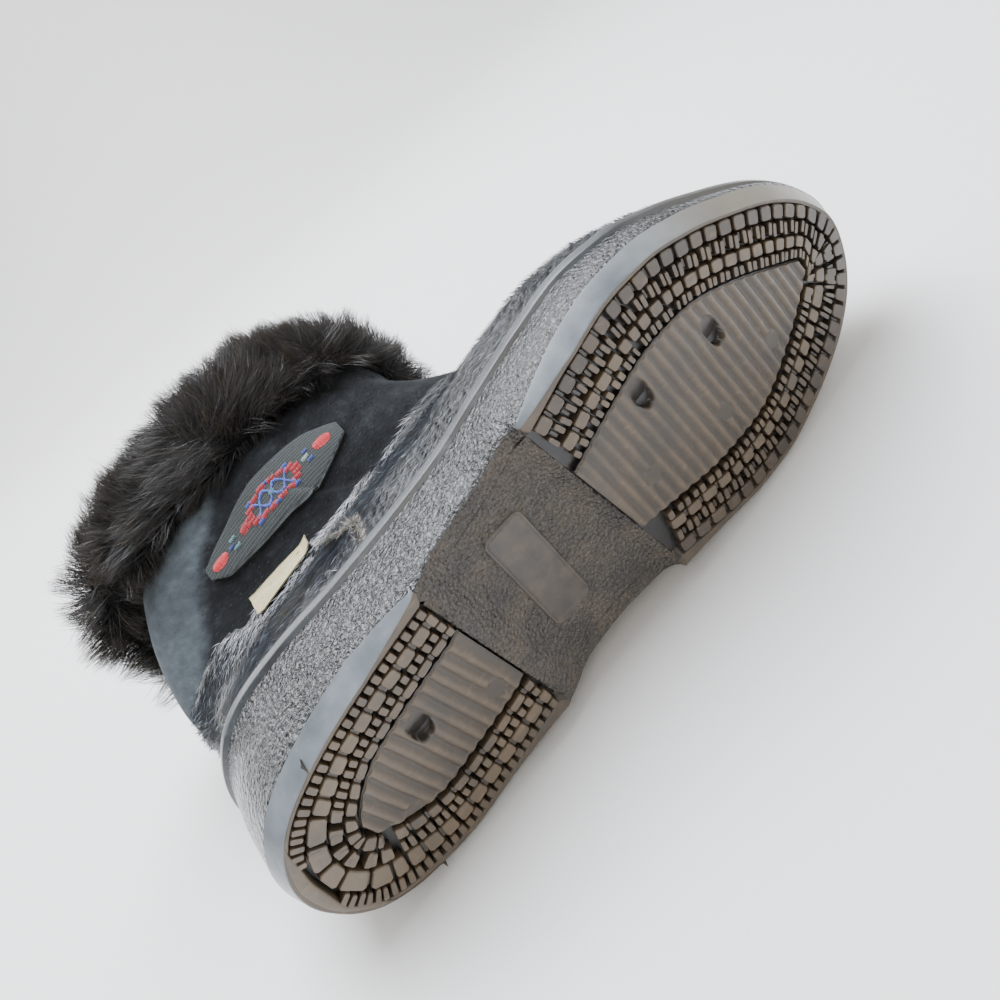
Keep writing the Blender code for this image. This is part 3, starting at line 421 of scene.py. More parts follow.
# The same rubber where the mould is plain: a satin surface with a pale wax bloom, fine scuffs along
# the sole, and warmer dust at the toe
def moulded_rubber_smooth(name, dark, light, warm):
    surface, tree = surface_named(name)
    at = add(tree, "NewGeometry", out="Position")
    toe = add(tree, "Attribute", attribute_name="toe", out="Fac")
    bloom = add(tree, "TexNoise", {"Vector": at, "Scale": 42.0, "Detail": 4.0, "Roughness": 0.6}, "Fac")
    along = add(tree, "Mapping", {"Vector": at, "Scale": (0.25, 1.0, 1.0)})
    streak = add(tree, "TexNoise", {"Vector": along, "Scale": 330.0, "Detail": 5.0, "Roughness": 0.7}, "Fac")
    speck = add(tree, "TexNoise", {"Vector": at, "Scale": 1250.0, "Detail": 3.0, "Roughness": 0.7}, "Fac")
    cloud = add(tree, "MapRange", {"Value": bloom, "From Min": 0.35, "From Max": 0.7})
    base = add(tree, "Mix", {0: cloud, 6: srgb(dark), 7: srgb(light)}, 2, data_type="RGBA")
    scuff = add(tree, "MapRange", {"Value": streak, "From Min": 0.55, "From Max": 0.75, "To Max": 0.30})
    base = add(tree, "Mix", {0: scuff, 6: base, 7: srgb("868B90")}, 2, data_type="RGBA")
    spot = add(tree, "MapRange", {"Value": speck, "From Min": 0.64, "From Max": 0.72, "To Max": 0.4})
    base = add(tree, "Mix", {0: spot, 6: base, 7: srgb("9A968C")}, 2, data_type="RGBA")
    base = add(tree, "Mix", {0: toe, 6: base, 7: srgb(warm)}, 2, data_type="RGBA")
    relief = add(tree, "Bump", {"Height": speck, "Distance": 0.05 * MM}, "Normal")
    shine = add(tree, "MapRange", {"Value": streak, "From Min": 0.3, "From Max": 0.7, "To Min": 0.28, "To Max": 0.46})
    shader = add(tree, "BsdfPrincipled", {"Base Color": base, "Roughness": shine, "IOR": 1.52, "Normal": relief,
                                          "Coat Weight": 0.25, "Coat Roughness": 0.25})
    add(tree, "OutputMaterial", {"Surface": shader})
    return surface


# Tread rubber after a walk: black rubber with painted shade that deepens from the tops down into
# the cuts, warm brown dust and tan scuffs on what meets the ground, still with the dull shine of rubber
def worn_tread_rubber():
    surface, tree = surface_named("worn_tread_rubber")
    at = add(tree, "NewGeometry", out="Position")
    crest = add(tree, "Attribute", attribute_name="crest", out="Fac")
    worn = add(tree, "Attribute", attribute_name="worn", out="Fac")
    cloud = add(tree, "TexNoise", {"Vector": at, "Scale": 72.0, "Detail": 4.0, "Roughness": 0.6}, "Fac")
    dust = add(tree, "TexNoise", {"Vector": at, "Scale": 450.0, "Detail": 5.0, "Roughness": 0.65}, "Fac")
    along = add(tree, "Mapping", {"Vector": at, "Scale": (0.22, 0.6, 0.6)})
    scuff = add(tree, "TexNoise", {"Vector": along, "Scale": 830.0, "Detail": 4.0, "Roughness": 0.7}, "Fac")
    # Painted shade: the base darkens from the brown of the tops to near black as the crest attribute falls into the
    # cuts
    top = add(tree, "Math", {0: crest, 1: 1.3}, operation="POWER")
    base = add(tree, "Mix", {0: top, 6: srgb("100D0A"), 7: srgb("3A3026")}, 2, data_type="RGBA")
    both = add(tree, "Math", {0: dust, 1: worn}, operation="ADD")
    both = add(tree, "MapRange", {"Value": both, "From Min": 0.45, "From Max": 1.15})
    both = add(tree, "Math", {0: both, 1: crest}, operation="MULTIPLY")
    base = add(tree, "Mix", {0: both, 6: base, 7: chosen("dust")}, 2, data_type="RGBA")
    tan = add(tree, "MapRange", {"Value": scuff, "From Min": 0.56, "From Max": 0.74, "To Max": 0.40})
    tan = add(tree, "Math", {0: tan, 1: crest}, operation="MULTIPLY")
    base = add(tree, "Mix", {0: tan, 6: base, 7: srgb("8A7457")}, 2, data_type="RGBA")
    grey = add(tree, "MapRange", {"Value": cloud, "From Min": 0.48, "From Max": 0.66, "To Max": 0.5})
    base = add(tree, "Mix", {0: grey, 6: base, 7: srgb("2C2926")}, 2, data_type="RGBA")
    relief = add(tree, "Bump", {"Height": dust, "Distance": 0.10 * MM}, "Normal")
    relief = add(tree, "Bump", {"Height": scuff, "Distance": 0.06 * MM, "Normal": relief}, "Normal")
    shine = add(tree, "MapRange", {"Value": dust, "From Min": 0.3, "From Max": 0.7, "To Min": 0.32, "To Max": 0.55})
    shader = add(tree, "BsdfPrincipled", {"Base Color": base, "Roughness": shine, "IOR": 1.52, "Normal": relief,
                                          "Coat Weight": 0.3, "Coat Roughness": 0.2})
    add(tree, "OutputMaterial", {"Surface": shader})
    return surface


# Rubber under the arch, moulded with a sharp leather grain about 1.2 mm across that glints through
# brown dust
def grained_waist_rubber():
    surface, tree = surface_named("grained_waist_rubber")
    at = add(tree, "NewGeometry", out="Position")
    cells = add(tree, "TexVoronoi", {"Vector": at, "Scale": 820.0}, "Distance", feature="F1")
    worm = add(tree, "TexNoise", {"Vector": at, "Scale": 760.0, "Detail": 3.0, "Roughness": 0.6, "Distortion": 1.2},
               "Fac")
    grain = add(tree, "Math", {0: cells, 1: worm}, operation="ADD")
    cloud = add(tree, "TexNoise", {"Vector": at, "Scale": 85.0, "Detail": 4.0, "Roughness": 0.6}, "Fac")
    patchy = add(tree, "MapRange", {"Value": cloud, "From Min": 0.36, "From Max": 0.66})
    base = add(tree, "Mix", {0: patchy, 6: srgb("2A231C"), 7: srgb("4E4234")}, 2, data_type="RGBA")
    low = add(tree, "MapRange", {"Value": grain, "From Min": 0.75, "From Max": 1.25, "To Max": 0.5})
    base = add(tree, "Mix", {0: low, 6: base, 7: srgb("1A1613")}, 2, data_type="RGBA")
    relief = add(tree, "Bump", {"Height": grain, "Distance": 0.75 * MM}, "Normal")
    shine = add(tree, "MapRange", {"Value": cloud, "From Min": 0.3, "From Max": 0.7, "To Min": 0.24, "To Max": 0.45})
    shader = add(tree, "BsdfPrincipled", {"Base Color": base, "Roughness": shine, "IOR": 1.52, "Normal": relief,
                                          "Coat Weight": 0.5, "Coat Roughness": 0.15, "Coat Normal": relief})
    add(tree, "OutputMaterial", {"Surface": shader})
    return surface


# Polished area of the mould under the arch: the same dusty rubber without grain, softly glossy
def polished_waist_rubber():
    surface, tree = surface_named("polished_waist_rubber")
    at = add(tree, "NewGeometry", out="Position")
    cloud = add(tree, "TexNoise", {"Vector": at, "Scale": 150.0, "Detail": 5.0, "Roughness": 0.65}, "Fac")
    patchy = add(tree, "MapRange", {"Value": cloud, "From Min": 0.36, "From Max": 0.68})
    base = add(tree, "Mix", {0: patchy, 6: srgb("2B251F"), 7: srgb("4A3F33")}, 2, data_type="RGBA")
    relief = add(tree, "Bump", {"Height": cloud, "Distance": 0.12 * MM}, "Normal")
    shine = add(tree, "MapRange", {"Value": cloud, "From Min": 0.3, "From Max": 0.7, "To Min": 0.30, "To Max": 0.48})
    shader = add(tree, "BsdfPrincipled", {"Base Color": base, "Roughness": shine, "IOR": 1.52, "Normal": relief,
                                          "Coat Weight": 0.3, "Coat Roughness": 0.2})
    add(tree, "OutputMaterial", {"Surface": shader})
    return surface


# Sheared black hide of the shaft: a soft nap that drinks the light, paling to slate suede behind
def napped_shaft_hide():
    surface, tree = surface_named("napped_shaft_hide")
    at = add(tree, "NewGeometry", out="Position")
    pale = add(tree, "Attribute", attribute_name="pale", out="Fac")
    lie = add(tree, "Mapping", {"Vector": at, "Scale": (0.5, 0.35, 1.0)})
    nap = add(tree, "TexNoise", {"Vector": lie, "Scale": 1100.0, "Detail": 4.0, "Roughness": 0.7}, "Fac")
    tuft = add(tree, "TexNoise", {"Vector": lie, "Scale": 300.0, "Detail": 4.0, "Roughness": 0.65}, "Fac")
    cloud = add(tree, "TexNoise", {"Vector": at, "Scale": 33.0, "Detail": 3.0}, "Fac")
    black = add(tree, "ValToRGB", {"Fac": tuft},
                stops=((0.3, srgb("0B0C0E")), (0.55, chosen("hide")), (0.78, srgb("2C3034"))))
    slate = add(tree, "ValToRGB", {"Fac": tuft},
                stops=((0.25, srgb("3A4045")), (0.55, chosen("suede")), (0.8, srgb("5C6367"))))
    ragged = add(tree, "MapRange", {"Value": tuft, "From Min": 0.3, "From Max": 0.7, "To Min": -0.10, "To Max": 0.10})
    edge = add(tree, "Math", {0: pale, 1: ragged}, operation="ADD")
    edge = add(tree, "MapRange", {"Value": edge, "From Min": 0.1, "From Max": 0.9})
    base = add(tree, "Mix", {0: edge, 6: black, 7: slate}, 2, data_type="RGBA")
    shade = add(tree, "MapRange", {"Value": cloud, "From Min": 0.45, "From Max": 0.7, "To Max": 0.22})
    base = add(tree, "Mix", {0: shade, 6: base, 7: srgb("0A0B0C")}, 2, data_type="RGBA")
    relief = add(tree, "Bump", {"Height": tuft, "Distance": 0.32 * MM}, "Normal")
    relief = add(tree, "Bump", {"Height": nap, "Distance": 0.18 * MM, "Normal": relief}, "Normal")
    shader = add(tree, "BsdfPrincipled", {"Base Color": base, "Roughness": 0.88, "IOR": 1.5, "Normal": relief,
                                          "Specular IOR Level": 0.2, "Sheen Weight": 0.28, "Sheen Roughness": 0.45,
                                          "Sheen Tint": srgb("7A8084")})
    add(tree, "OutputMaterial", {"Surface": shader})
    return surface


# Knitted-back fleece lining: matt charcoal with soft pills
def fleece_lining():
    surface, tree = surface_named("fleece_lining")
    at = add(tree, "NewGeometry", out="Position")
    pile = add(tree, "TexNoise", {"Vector": at, "Scale": 550.0, "Detail": 5.0, "Roughness": 0.7}, "Fac")
    base = add(tree, "ValToRGB", {"Fac": pile},
               stops=((0.3, srgb("16130F")), (0.6, srgb("3A332C")), (0.8, srgb("554C42"))))
    relief = add(tree, "Bump", {"Height": pile, "Distance": 0.8 * MM}, "Normal")
    shader = add(tree, "BsdfPrincipled", {"Base Color": base, "Roughness": 0.95, "Normal": relief,
                                          "Specular IOR Level": 0.15, "Sheen Weight": 0.4})
    add(tree, "OutputMaterial", {"Surface": shader})
    return surface


# Skin seen between the short hairs of vamp and quarter: black and combed, with blue-grey glints painted into its colour
def hair_hide_skin():
    surface, tree = surface_named("hair_hide_skin")
    at = add(tree, "NewGeometry", out="Position")
    lie = add(tree, "Mapping", {"Vector": at, "Scale": (0.18, 0.8, 0.8)})
    comb = add(tree, "TexNoise", {"Vector": lie, "Scale": 900.0, "Detail": 4.0, "Roughness": 0.7}, "Fac")
    patchy = add(tree, "TexNoise", {"Vector": at, "Scale": 85.0, "Detail": 4.0, "Roughness": 0.6}, "Fac")
    # Painted highlight: the ramp's pale blue-grey stops paint the combed glints into the colour
    base = add(tree, "ValToRGB", {"Fac": comb},
               stops=((0.3, srgb("08090B")), (0.5, srgb("15181C")), (0.66, srgb("3F4852")), (0.8, srgb("73808E"))))
    relief = add(tree, "Bump", {"Height": comb, "Distance": 0.40 * MM}, "Normal")
    shine = add(tree, "MapRange", {"Value": patchy, "From Min": 0.3, "From Max": 0.7, "To Min": 0.28, "To Max": 0.45})
    shader = add(tree, "BsdfPrincipled", {"Base Color": base, "Roughness": shine, "IOR": 1.55, "Normal": relief,
                                          "Specular IOR Level": 0.7})
    add(tree, "OutputMaterial", {"Surface": shader})
    return surface


# Undyed core of the hide where it is cut across: whitish and fibrous
def raw_hide_edge():
    surface, tree = surface_named("raw_hide_edge")
    at = add(tree, "NewGeometry", out="Position")
    fibre = add(tree, "TexNoise", {"Vector": at, "Scale": 1500.0, "Detail": 4.0, "Roughness": 0.7}, "Fac")
    base = add(tree, "ValToRGB", {"Fac": fibre},
               stops=((0.3, srgb("6A665F")), (0.55, srgb("B5B0A6")), (0.75, srgb("DEDAD0"))))
    relief = add(tree, "Bump", {"Height": fibre, "Distance": 0.2 * MM}, "Normal")
    shader = add(tree, "BsdfPrincipled", {"Base Color": base, "Roughness": 0.85, "Normal": relief})
    add(tree, "OutputMaterial", {"Surface": shader})
    return surface


# Hair, as a tapering fibre: darker at the root, a share of the fibres with a painted highlight at
# the tip, and thin enough there to glow against the light
def hair_fibre(name, root, tip, painted_glint, rarity, rough, glow, gloss):
    surface, tree = surface_named(name)
    along = add(tree, "Attribute", attribute_name="along", out="Fac")
    pick = add(tree, "Attribute", attribute_name="pick", out="Fac")
    up = add(tree, "Math", {0: along, 1: 1.6}, operation="POWER")
    base = add(tree, "Mix", {0: up, 6: root, 7: tip}, 2, data_type="RGBA")
    # Painted highlight: towards their tips, the fibres past the rarity mark are mixed to the glint colour
    pale = add(tree, "MapRange", {"Value": pick, "From Min": rarity, "From Max": 1.0})
    pale = add(tree, "Math", {0: pale, 1: along}, operation="MULTIPLY")
    base = add(tree, "Mix", {0: pale, 6: base, 7: srgb(painted_glint)}, 2, data_type="RGBA")
    own = add(tree, "Math", {0: pick, 1: 7.0}, operation="MULTIPLY")
    own = add(tree, "Math", {0: own}, operation="FRACT")
    own = add(tree, "MapRange", {"Value": own, "To Min": 0.55, "To Max": 1.15})
    shade = add(tree, "CombineColor", {"Red": own, "Green": own, "Blue": own})
    base = add(tree, "Mix", {0: 1.0, 6: base, 7: shade}, 2, data_type="RGBA", blend_type="MULTIPLY")
    shader = add(tree, "BsdfPrincipled",
                 {"Base Color": base, "Roughness": rough, "IOR": 1.55, "Specular IOR Level": gloss})
    lit = add(tree, "Mix", {0: 0.5, 6: base, 7: srgb(painted_glint)}, 2, data_type="RGBA")
    through = add(tree, "BsdfTranslucent", {"Color": lit})
    amount = add(tree, "Math", {0: along, 1: glow}, operation="MULTIPLY")
    both = add(tree, "MixShader", {0: amount, 1: shader, 2: through})
    add(tree, "OutputMaterial", {"Surface": both})
    return surface


# Rayon embroidery thread: satin with a soft sheen, its colour given by the motif that it is in
def rayon_embroidery_thread():
    surface, tree = surface_named("rayon_embroidery_thread")
    tone = add(tree, "Attribute", attribute_name="tone", out="Fac")
    pick = add(tree, "Attribute", attribute_name="pick", out="Fac")
    thread = add(tree, "ValToRGB", {"Fac": tone}, stops=(
        (0.0, srgb("9E1420")), (0.19, srgb("9E1420")), (0.2, srgb("CC2630")), (0.39, srgb("CC2630")),
        (0.4, srgb("2C3F92")), (0.59, srgb("2C3F92")), (0.6, srgb("4A60BC")), (0.79, srgb("4A60BC")),
        (0.8, srgb("4E7C80")), (0.94, srgb("4E7C80")), (0.95, srgb("8FA098"))))
    level = add(tree, "MapRange", {"Value": pick, "To Min": 0.75, "To Max": 1.15})
    shade = add(tree, "CombineColor", {"Red": level, "Green": level, "Blue": level})
    base = add(tree, "Mix", {0: 1.0, 6: thread, 7: shade}, 2, data_type="RGBA", blend_type="MULTIPLY")
    shader = add(tree, "BsdfPrincipled",
                 {"Base Color": base, "Roughness": 0.42, "Sheen Weight": 0.3, "Anisotropic": 0.5})
    add(tree, "OutputMaterial", {"Surface": shader})
    return surface


# Plain-woven band: warp and weft of thread millimetres, drawn a little coarser than real so that
# they show, with a fuzz of broken fibre
def woven_band(name, dark, light, thread):
    surface, tree = surface_named(name)
    at = add(tree, "NewGeometry", out="Position")
    warp = add(tree, "TexWave", {"Vector": at, "Scale": 157.0 / thread, "Distortion": 0.4}, "Fac", bands_direction="X")
    weft = add(tree, "TexWave", {"Vector": at, "Scale": 157.0 / thread, "Distortion": 0.4}, "Fac", bands_direction="Y")
    cloth = add(tree, "Math", {0: warp, 1: weft}, operation="MULTIPLY")
    fuzz = add(tree, "TexNoise", {"Vector": at, "Scale": 830.0, "Detail": 4.0, "Roughness": 0.7}, "Fac")
    half = add(tree, "Math", {0: fuzz, 1: 0.5}, operation="MULTIPLY")
    tint = add(tree, "Math", {0: cloth, 1: 0.6, 2: half}, operation="MULTIPLY_ADD")
    level = add(tree, "MapRange", {"Value": tint, "From Min": 0.2, "From Max": 0.8})
    base = add(tree, "Mix", {0: level, 6: dark, 7: light}, 2, data_type="RGBA")
    relief = add(tree, "Bump", {"Height": tint, "Distance": 0.12 * MM}, "Normal")
    shader = add(tree, "BsdfPrincipled", {"Base Color": base, "Roughness": 0.8, "Sheen Weight": 0.2, "Normal": relief})
    add(tree, "OutputMaterial", {"Surface": shader})
    return surface


# Pressed wool felt: matt grey-brown with matted fibres
def pressed_felt():
    surface, tree = surface_named("pressed_felt")
    at = add(tree, "NewGeometry", out="Position")
    fibre = add(tree, "TexNoise", {"Vector": at, "Scale": 670.0, "Detail": 6.0, "Roughness": 0.75}, "Fac")
    base = add(tree, "ValToRGB", {"Fac": fibre}, stops=((0.3, srgb("2C2925")), (0.7, srgb("5A544C"))))
    relief = add(tree, "Bump", {"Height": fibre, "Distance": 0.3 * MM}, "Normal")
    shader = add(tree, "BsdfPrincipled", {"Base Color": base, "Roughness": 0.95, "Normal": relief})
    add(tree, "OutputMaterial", {"Surface": shader})
    return surface


# Matt paper sweep: pale and even, with a faint tooth
def matt_paper():
    surface, tree = surface_named("matt_paper")
    at = add(tree, "NewGeometry", out="Position")
    tooth = add(tree, "TexNoise", {"Vector": at, "Scale": 900.0, "Detail": 2.0}, "Fac")
    relief = add(tree, "Bump", {"Height": tooth, "Distance": 0.02 * MM}, "Normal")
    shader = add(tree, "BsdfPrincipled", {"Base Color": srgb("F1F1F0"), "Roughness": 0.85, "Specular IOR Level": 0.2,
                                          "Normal": relief})
    add(tree, "OutputMaterial", {"Surface": shader})
    return surface


_made = {}


def material(maker, *values):
    key = (maker.__name__, values)
    if key not in _made:
        _made[key] = maker(*values)
    return _made[key]


# Sole

def rounded(rows, radii, steps=3):
    """Profile rows with each inner corner rounded; also the strip that each new row ends."""
    out = [rows[0]]
    strip = []
    for k in range(1, len(rows) - 1):
        a = rows[k - 1] - rows[k]
        b = rows[k + 1] - rows[k]
        la = np.linalg.norm(a, axis=1)[:, None] + 1e-9
        lb = np.linalg.norm(b, axis=1)[:, None] + 1e-9
        r = np.minimum(radii[k], np.minimum(0.45 * la, 0.45 * lb))
        start = rows[k] + a / la * r
        end = rows[k] + b / lb * r
        for j in range(steps + 1):
            t = j / steps
            out.append((1 - t) ** 2 * start + 2 * t * (1 - t) * rows[k] + t * t * end)
            strip.append(k - 1 if j <= steps // 2 else k)
    out.append(rows[-1])
    strip.append(len(rows) - 2)
    return out, strip


def build_sole_wall():
    """Cup wall of the sole with its rim, chamfer, pebbled band and lip."""
    points, _, inward = outline(600)
    n = len(points)
    x = points[:, 0]
    y = points[:, 1]
    heel, fore = breasts(x, y)
    waist = smooth(heel / (1.6 * MM)) * smooth(fore / (1.6 * MM))
    away = np.where(heel < 0, -heel, np.where(fore < 0, -fore, 0.0))
    taper = np.clip(away / (26 * MM), 0.0, 1.0) ** 0.7
    depth = waist_depth(x, y)
    lift = rise(x)
    top = side_top(x) + lift
    flare = side_flare(x)
    rim = 0.35 * MM * (1 - waist) + depth * waist
    cut = 1.0 * MM + (CHAMFER_OUT - 1.0 * MM) * taper
    up = 1.6 * MM + (CHAMFER_UP - 1.6 * MM) * taper
    knee = lift + up * (1 - waist) + (depth + 1.6 * MM) * waist
    soft = 0.25 * MM * waves(np.stack([x, y, 0 * x], 1), 22 * MM)
    rows = [
        (np.full(n, 6.6 * MM), lift + LUG_FLOOR * (1 - waist) + depth * waist),
        (np.maximum(cut + 1.5 * MM, 5.2 * MM * (1 - waist)), lift + rim + 0.2 * MM * (1 - waist)),
        (cut, lift + rim),
        (np.zeros(n), knee),
        (-0.5 * flare - 0.6 * MM - soft, 0.5 * (knee + top - LIP_HEIGHT)),
        (-0.9 * flare, top - LIP_HEIGHT),
        (0.5 * MM - 0.95 * flare, top - 0.97 * LIP_HEIGHT),
        (-flare - LIP_OUT, top - 0.80 * LIP_HEIGHT),
        (-flare - LIP_OUT - 0.1 * MM, top - 0.25 * LIP_HEIGHT),
        (0.5 * MM - flare, top),
        (CUP_WALL - flare, top),
        (np.full(n, CUP_WALL), lift + BED_HEIGHT),
    ]
    rows = [np.stack([a, b], 1) for a, b in rows]
    radii = [0, 0.25, 0.45, 0.7, 3.0, 0.3, 0.2, 0.5, 1.1, 0.9, 0.7, 0]
    rows, strip = rounded(rows, [r * MM for r in radii])
    verts = np.stack([np.column_stack([points + row[:, :1] * inward, row[:, 1]]) for row in rows])
    faces = grid_faces(len(rows), n, close_columns=True)
    kind = np.repeat(np.array([(0, 0, 1, 2, 2, 4, 4, 4, 4, 4, 4)[s] for s in strip]), n)
    column = np.tile(np.arange(n), len(rows) - 1)
    band = np.repeat(np.array(strip), n)
    kind = np.where((band == 2) & (waist[column] > 0.5), 2, kind)
    kind = np.where((band < 2) & (waist[column] > 0.5), 3, kind)
    # Painted shade: the crest is 0.4 on the rows deep in the tread, so the tread rubber there is darker than near the
    # rim
    crest = np.repeat([1.0 if 3 < k < 10 else 0.4 for k in range(len(rows))], n)
    toe = np.tile(0.75 * smooth((x / LENGTH - 0.66) / 0.26), len(rows))
    # Painted reflection: the chamfer's copy of the smooth rubber is made lighter, standing in for the bright room that
    # it mirrors; painted shade: the lip's copy is made darker against the light from above
    body = make_mesh("sole_wall", verts.reshape(-1, 3), [faces],
                     [material(worn_tread_rubber),
                      material(moulded_rubber_smooth, "moulded_rubber_chamfer_painted_reflection", "565D63", "7A8288", "857C6B"),
                      material(moulded_rubber_pebbled), material(grained_waist_rubber),
                      material(moulded_rubber_smooth, "moulded_rubber_lip_painted_shade", "2A2D30", "44494D", "4E4A42")],
                     slots=kind, values={"crest": crest, "worn": np.full(len(crest), 0.3), "toe": toe})
    return place(body, "outsole")


def build_sole_floor():
    """Floor between the lugs, the grained waist, and the bed inside the cup."""
    loop, _, _ = outline(1200, 6.3 * MM)
    half = len(loop) // 2
    low = loop[:half][np.argsort(loop[:half, 0])]
    high = loop[half:][np.argsort(loop[half:, 0])]
    x0 = max(low[0, 0], high[0, 0])
    x1 = min(low[-1, 0], high[-1, 0])
    heel0, fore0 = (float(v) for v in breast_lines(0.0))
    near = np.linspace(-0.8, 0.8, 9) * MM
    base = x0 + (x1 - x0) * 0.5 * (1 - np.cos(np.linspace(0.02, math.pi - 0.02, 190)))
    base = np.sort(np.concatenate([base, heel0 + near, fore0 + near]))[:, None]
    v = np.linspace(0.0, 1.0, 56)
    x = np.repeat(base, len(v), 1)
    for _ in range(4):
        y = np.interp(x, low[:, 0], low[:, 1]) * (1 - v) + np.interp(x, high[:, 0], high[:, 1]) * v
        heel, fore = breast_lines(y)
        part = (base - heel0) / (fore0 - heel0)
        middle = (heel - heel0) * (1 - part) + (fore - fore0) * part
        x = base + np.where(base < heel0, (heel - heel0) * (base - x0) / (heel0 - x0),
                            np.where(base > fore0, (fore - fore0) * (x1 - base) / (x1 - fore0), middle))
    heel, fore = breasts(x, y)
    waist = smooth(heel / (0.6 * MM) + 0.5) * smooth(fore / (0.6 * MM) + 0.5)
    z = rise(x) + LUG_FLOOR * (1 - waist) + waist_depth(x, y) * waist
    faces = grid_faces(len(base), len(v))
    kind = (waist.reshape(-1)[faces].mean(axis=1) > 0.4).astype(int)
    # Crest 0: the floor between the lugs takes the tread rubber's darkest colour, the painted shade of the cuts, and no
    # dust
    body = make_mesh("sole_floor", np.stack([x, y, z], -1).reshape(-1, 3), [faces],
                     [material(worn_tread_rubber), material(grained_waist_rubber)], slots=kind,
                     values={"crest": np.zeros(x.size), "worn": np.zeros(x.size)})
    place(body, "outsole")
    loop, _, _ = outline(240, CUP_WALL - 0.1 * MM)
    verts = np.column_stack([loop, rise(loop[:, 0]) + BED_HEIGHT])
    middle = np.array([[0.5 * LENGTH, 0.0, rise(0.5 * LENGTH) + BED_HEIGHT]])
    inner = verts * 0.5 + middle * 0.5
    inner[:, 2] = rise(inner[:, 0]) + BED_HEIGHT
    n = len(loop)
    fan = np.array([(n + i, n + (i + 1) % n, 2 * n) for i in range(n)])
    # The bed takes the lip's darker copy of the rubber, the one with painted shade
    bed = make_mesh("sole_bed", np.concatenate([verts, inner, middle]), [grid_faces(2, n, close_columns=True), fan],
                    material(moulded_rubber_smooth, "moulded_rubber_lip_painted_shade", "2A2D30", "44494D", "4E4A42"))
    return place(bed, "outsole")


def pad_span(region, y):
    """First and last x of a ribbed pad at y: its round end, and the breast line."""
    heel, fore = breast_lines(y)
    if region == "heel":
        return 0.100 * LENGTH + HEEL_RIB_SKEW * y, heel - 0.4 * MM
    return fore + 0.4 * MM, 0.900 * LENGTH + 0.0 * y


def pad_edge(x, region, side):
    share = np.clip(x / LENGTH, 0.02, 0.98)
    y = side_edge(share, side)
    middle = 0.5 * (side_edge(share, "outer") + side_edge(share, "inner"))
    if region == "heel":
        start, full, inset = 0.098, 0.185, HEEL_PAD_INSET * BALL_WIDTH
    else:
        start, full, inset = 0.905, 0.700, FORE_PAD_INSET * BALL_WIDTH
    near = np.clip((share - start) / (full - start), 0.0, 1.0)
    width = np.abs(y - middle) - inset
    if region == "fore" and side == "inner":
        width = width + 3.0 * MM
    width = np.maximum(width, 4.0 * MM) * np.sqrt(np.maximum(1.0 - (1.0 - near) ** 2, 0.0))
    width = np.maximum(width, 1.5 * MM)
    return middle - width if side == "outer" else middle + width


def tread_band(region):
    """Band between the sole's edge and the pad's groove: edge points, inward headings, depths, length."""
    edge, _, inward = outline(1600)
    if region == "heel":
        edge = np.roll(edge, 800, axis=0)
        inward = np.roll(inward, 800, axis=0)
    heel, fore = breasts(edge[:, 0], edge[:, 1])
    keep = heel < -0.4 * MM if region == "heel" else fore < -0.4 * MM
    edge = edge[keep]
    inward = inward[keep]
    reach = np.arange(7.0, 31.0, 0.2) * MM
    at = edge[:, None] + reach[None, :, None] * inward[:, None]
    skew = HEEL_RIB_SKEW if region == "heel" else 0.0
    px = at[..., 0] - skew * at[..., 1]
    groove = 1.5 * MM
    first, last = pad_span(region, at[..., 1])
    if region == "heel":
        inside = (at[..., 0] > first - groove) & (at[..., 0] < last + 8 * MM)
    else:
        inside = at[..., 0] < last + groove
    inside &= at[..., 1] > pad_edge(px, region, "outer") - groove
    inside &= at[..., 1] < pad_edge(px, region, "inner") + groove
    depth = np.where(inside.any(axis=1), reach[inside.argmax(axis=1)], np.nan)
    good = ~np.isnan(depth)
    depth = np.interp(np.arange(len(depth)), np.flatnonzero(good), depth[good])
    window = 15
    padded = np.concatenate([np.full(window, depth[0]), depth, np.full(window, depth[-1])])
    depth = np.convolve(padded, np.ones(2 * window + 1) / (2 * window + 1), "valid")
    arc = np.concatenate([[0.0], np.cumsum(np.linalg.norm(np.diff(edge, axis=0), axis=1))])
    return edge, inward, depth, arc


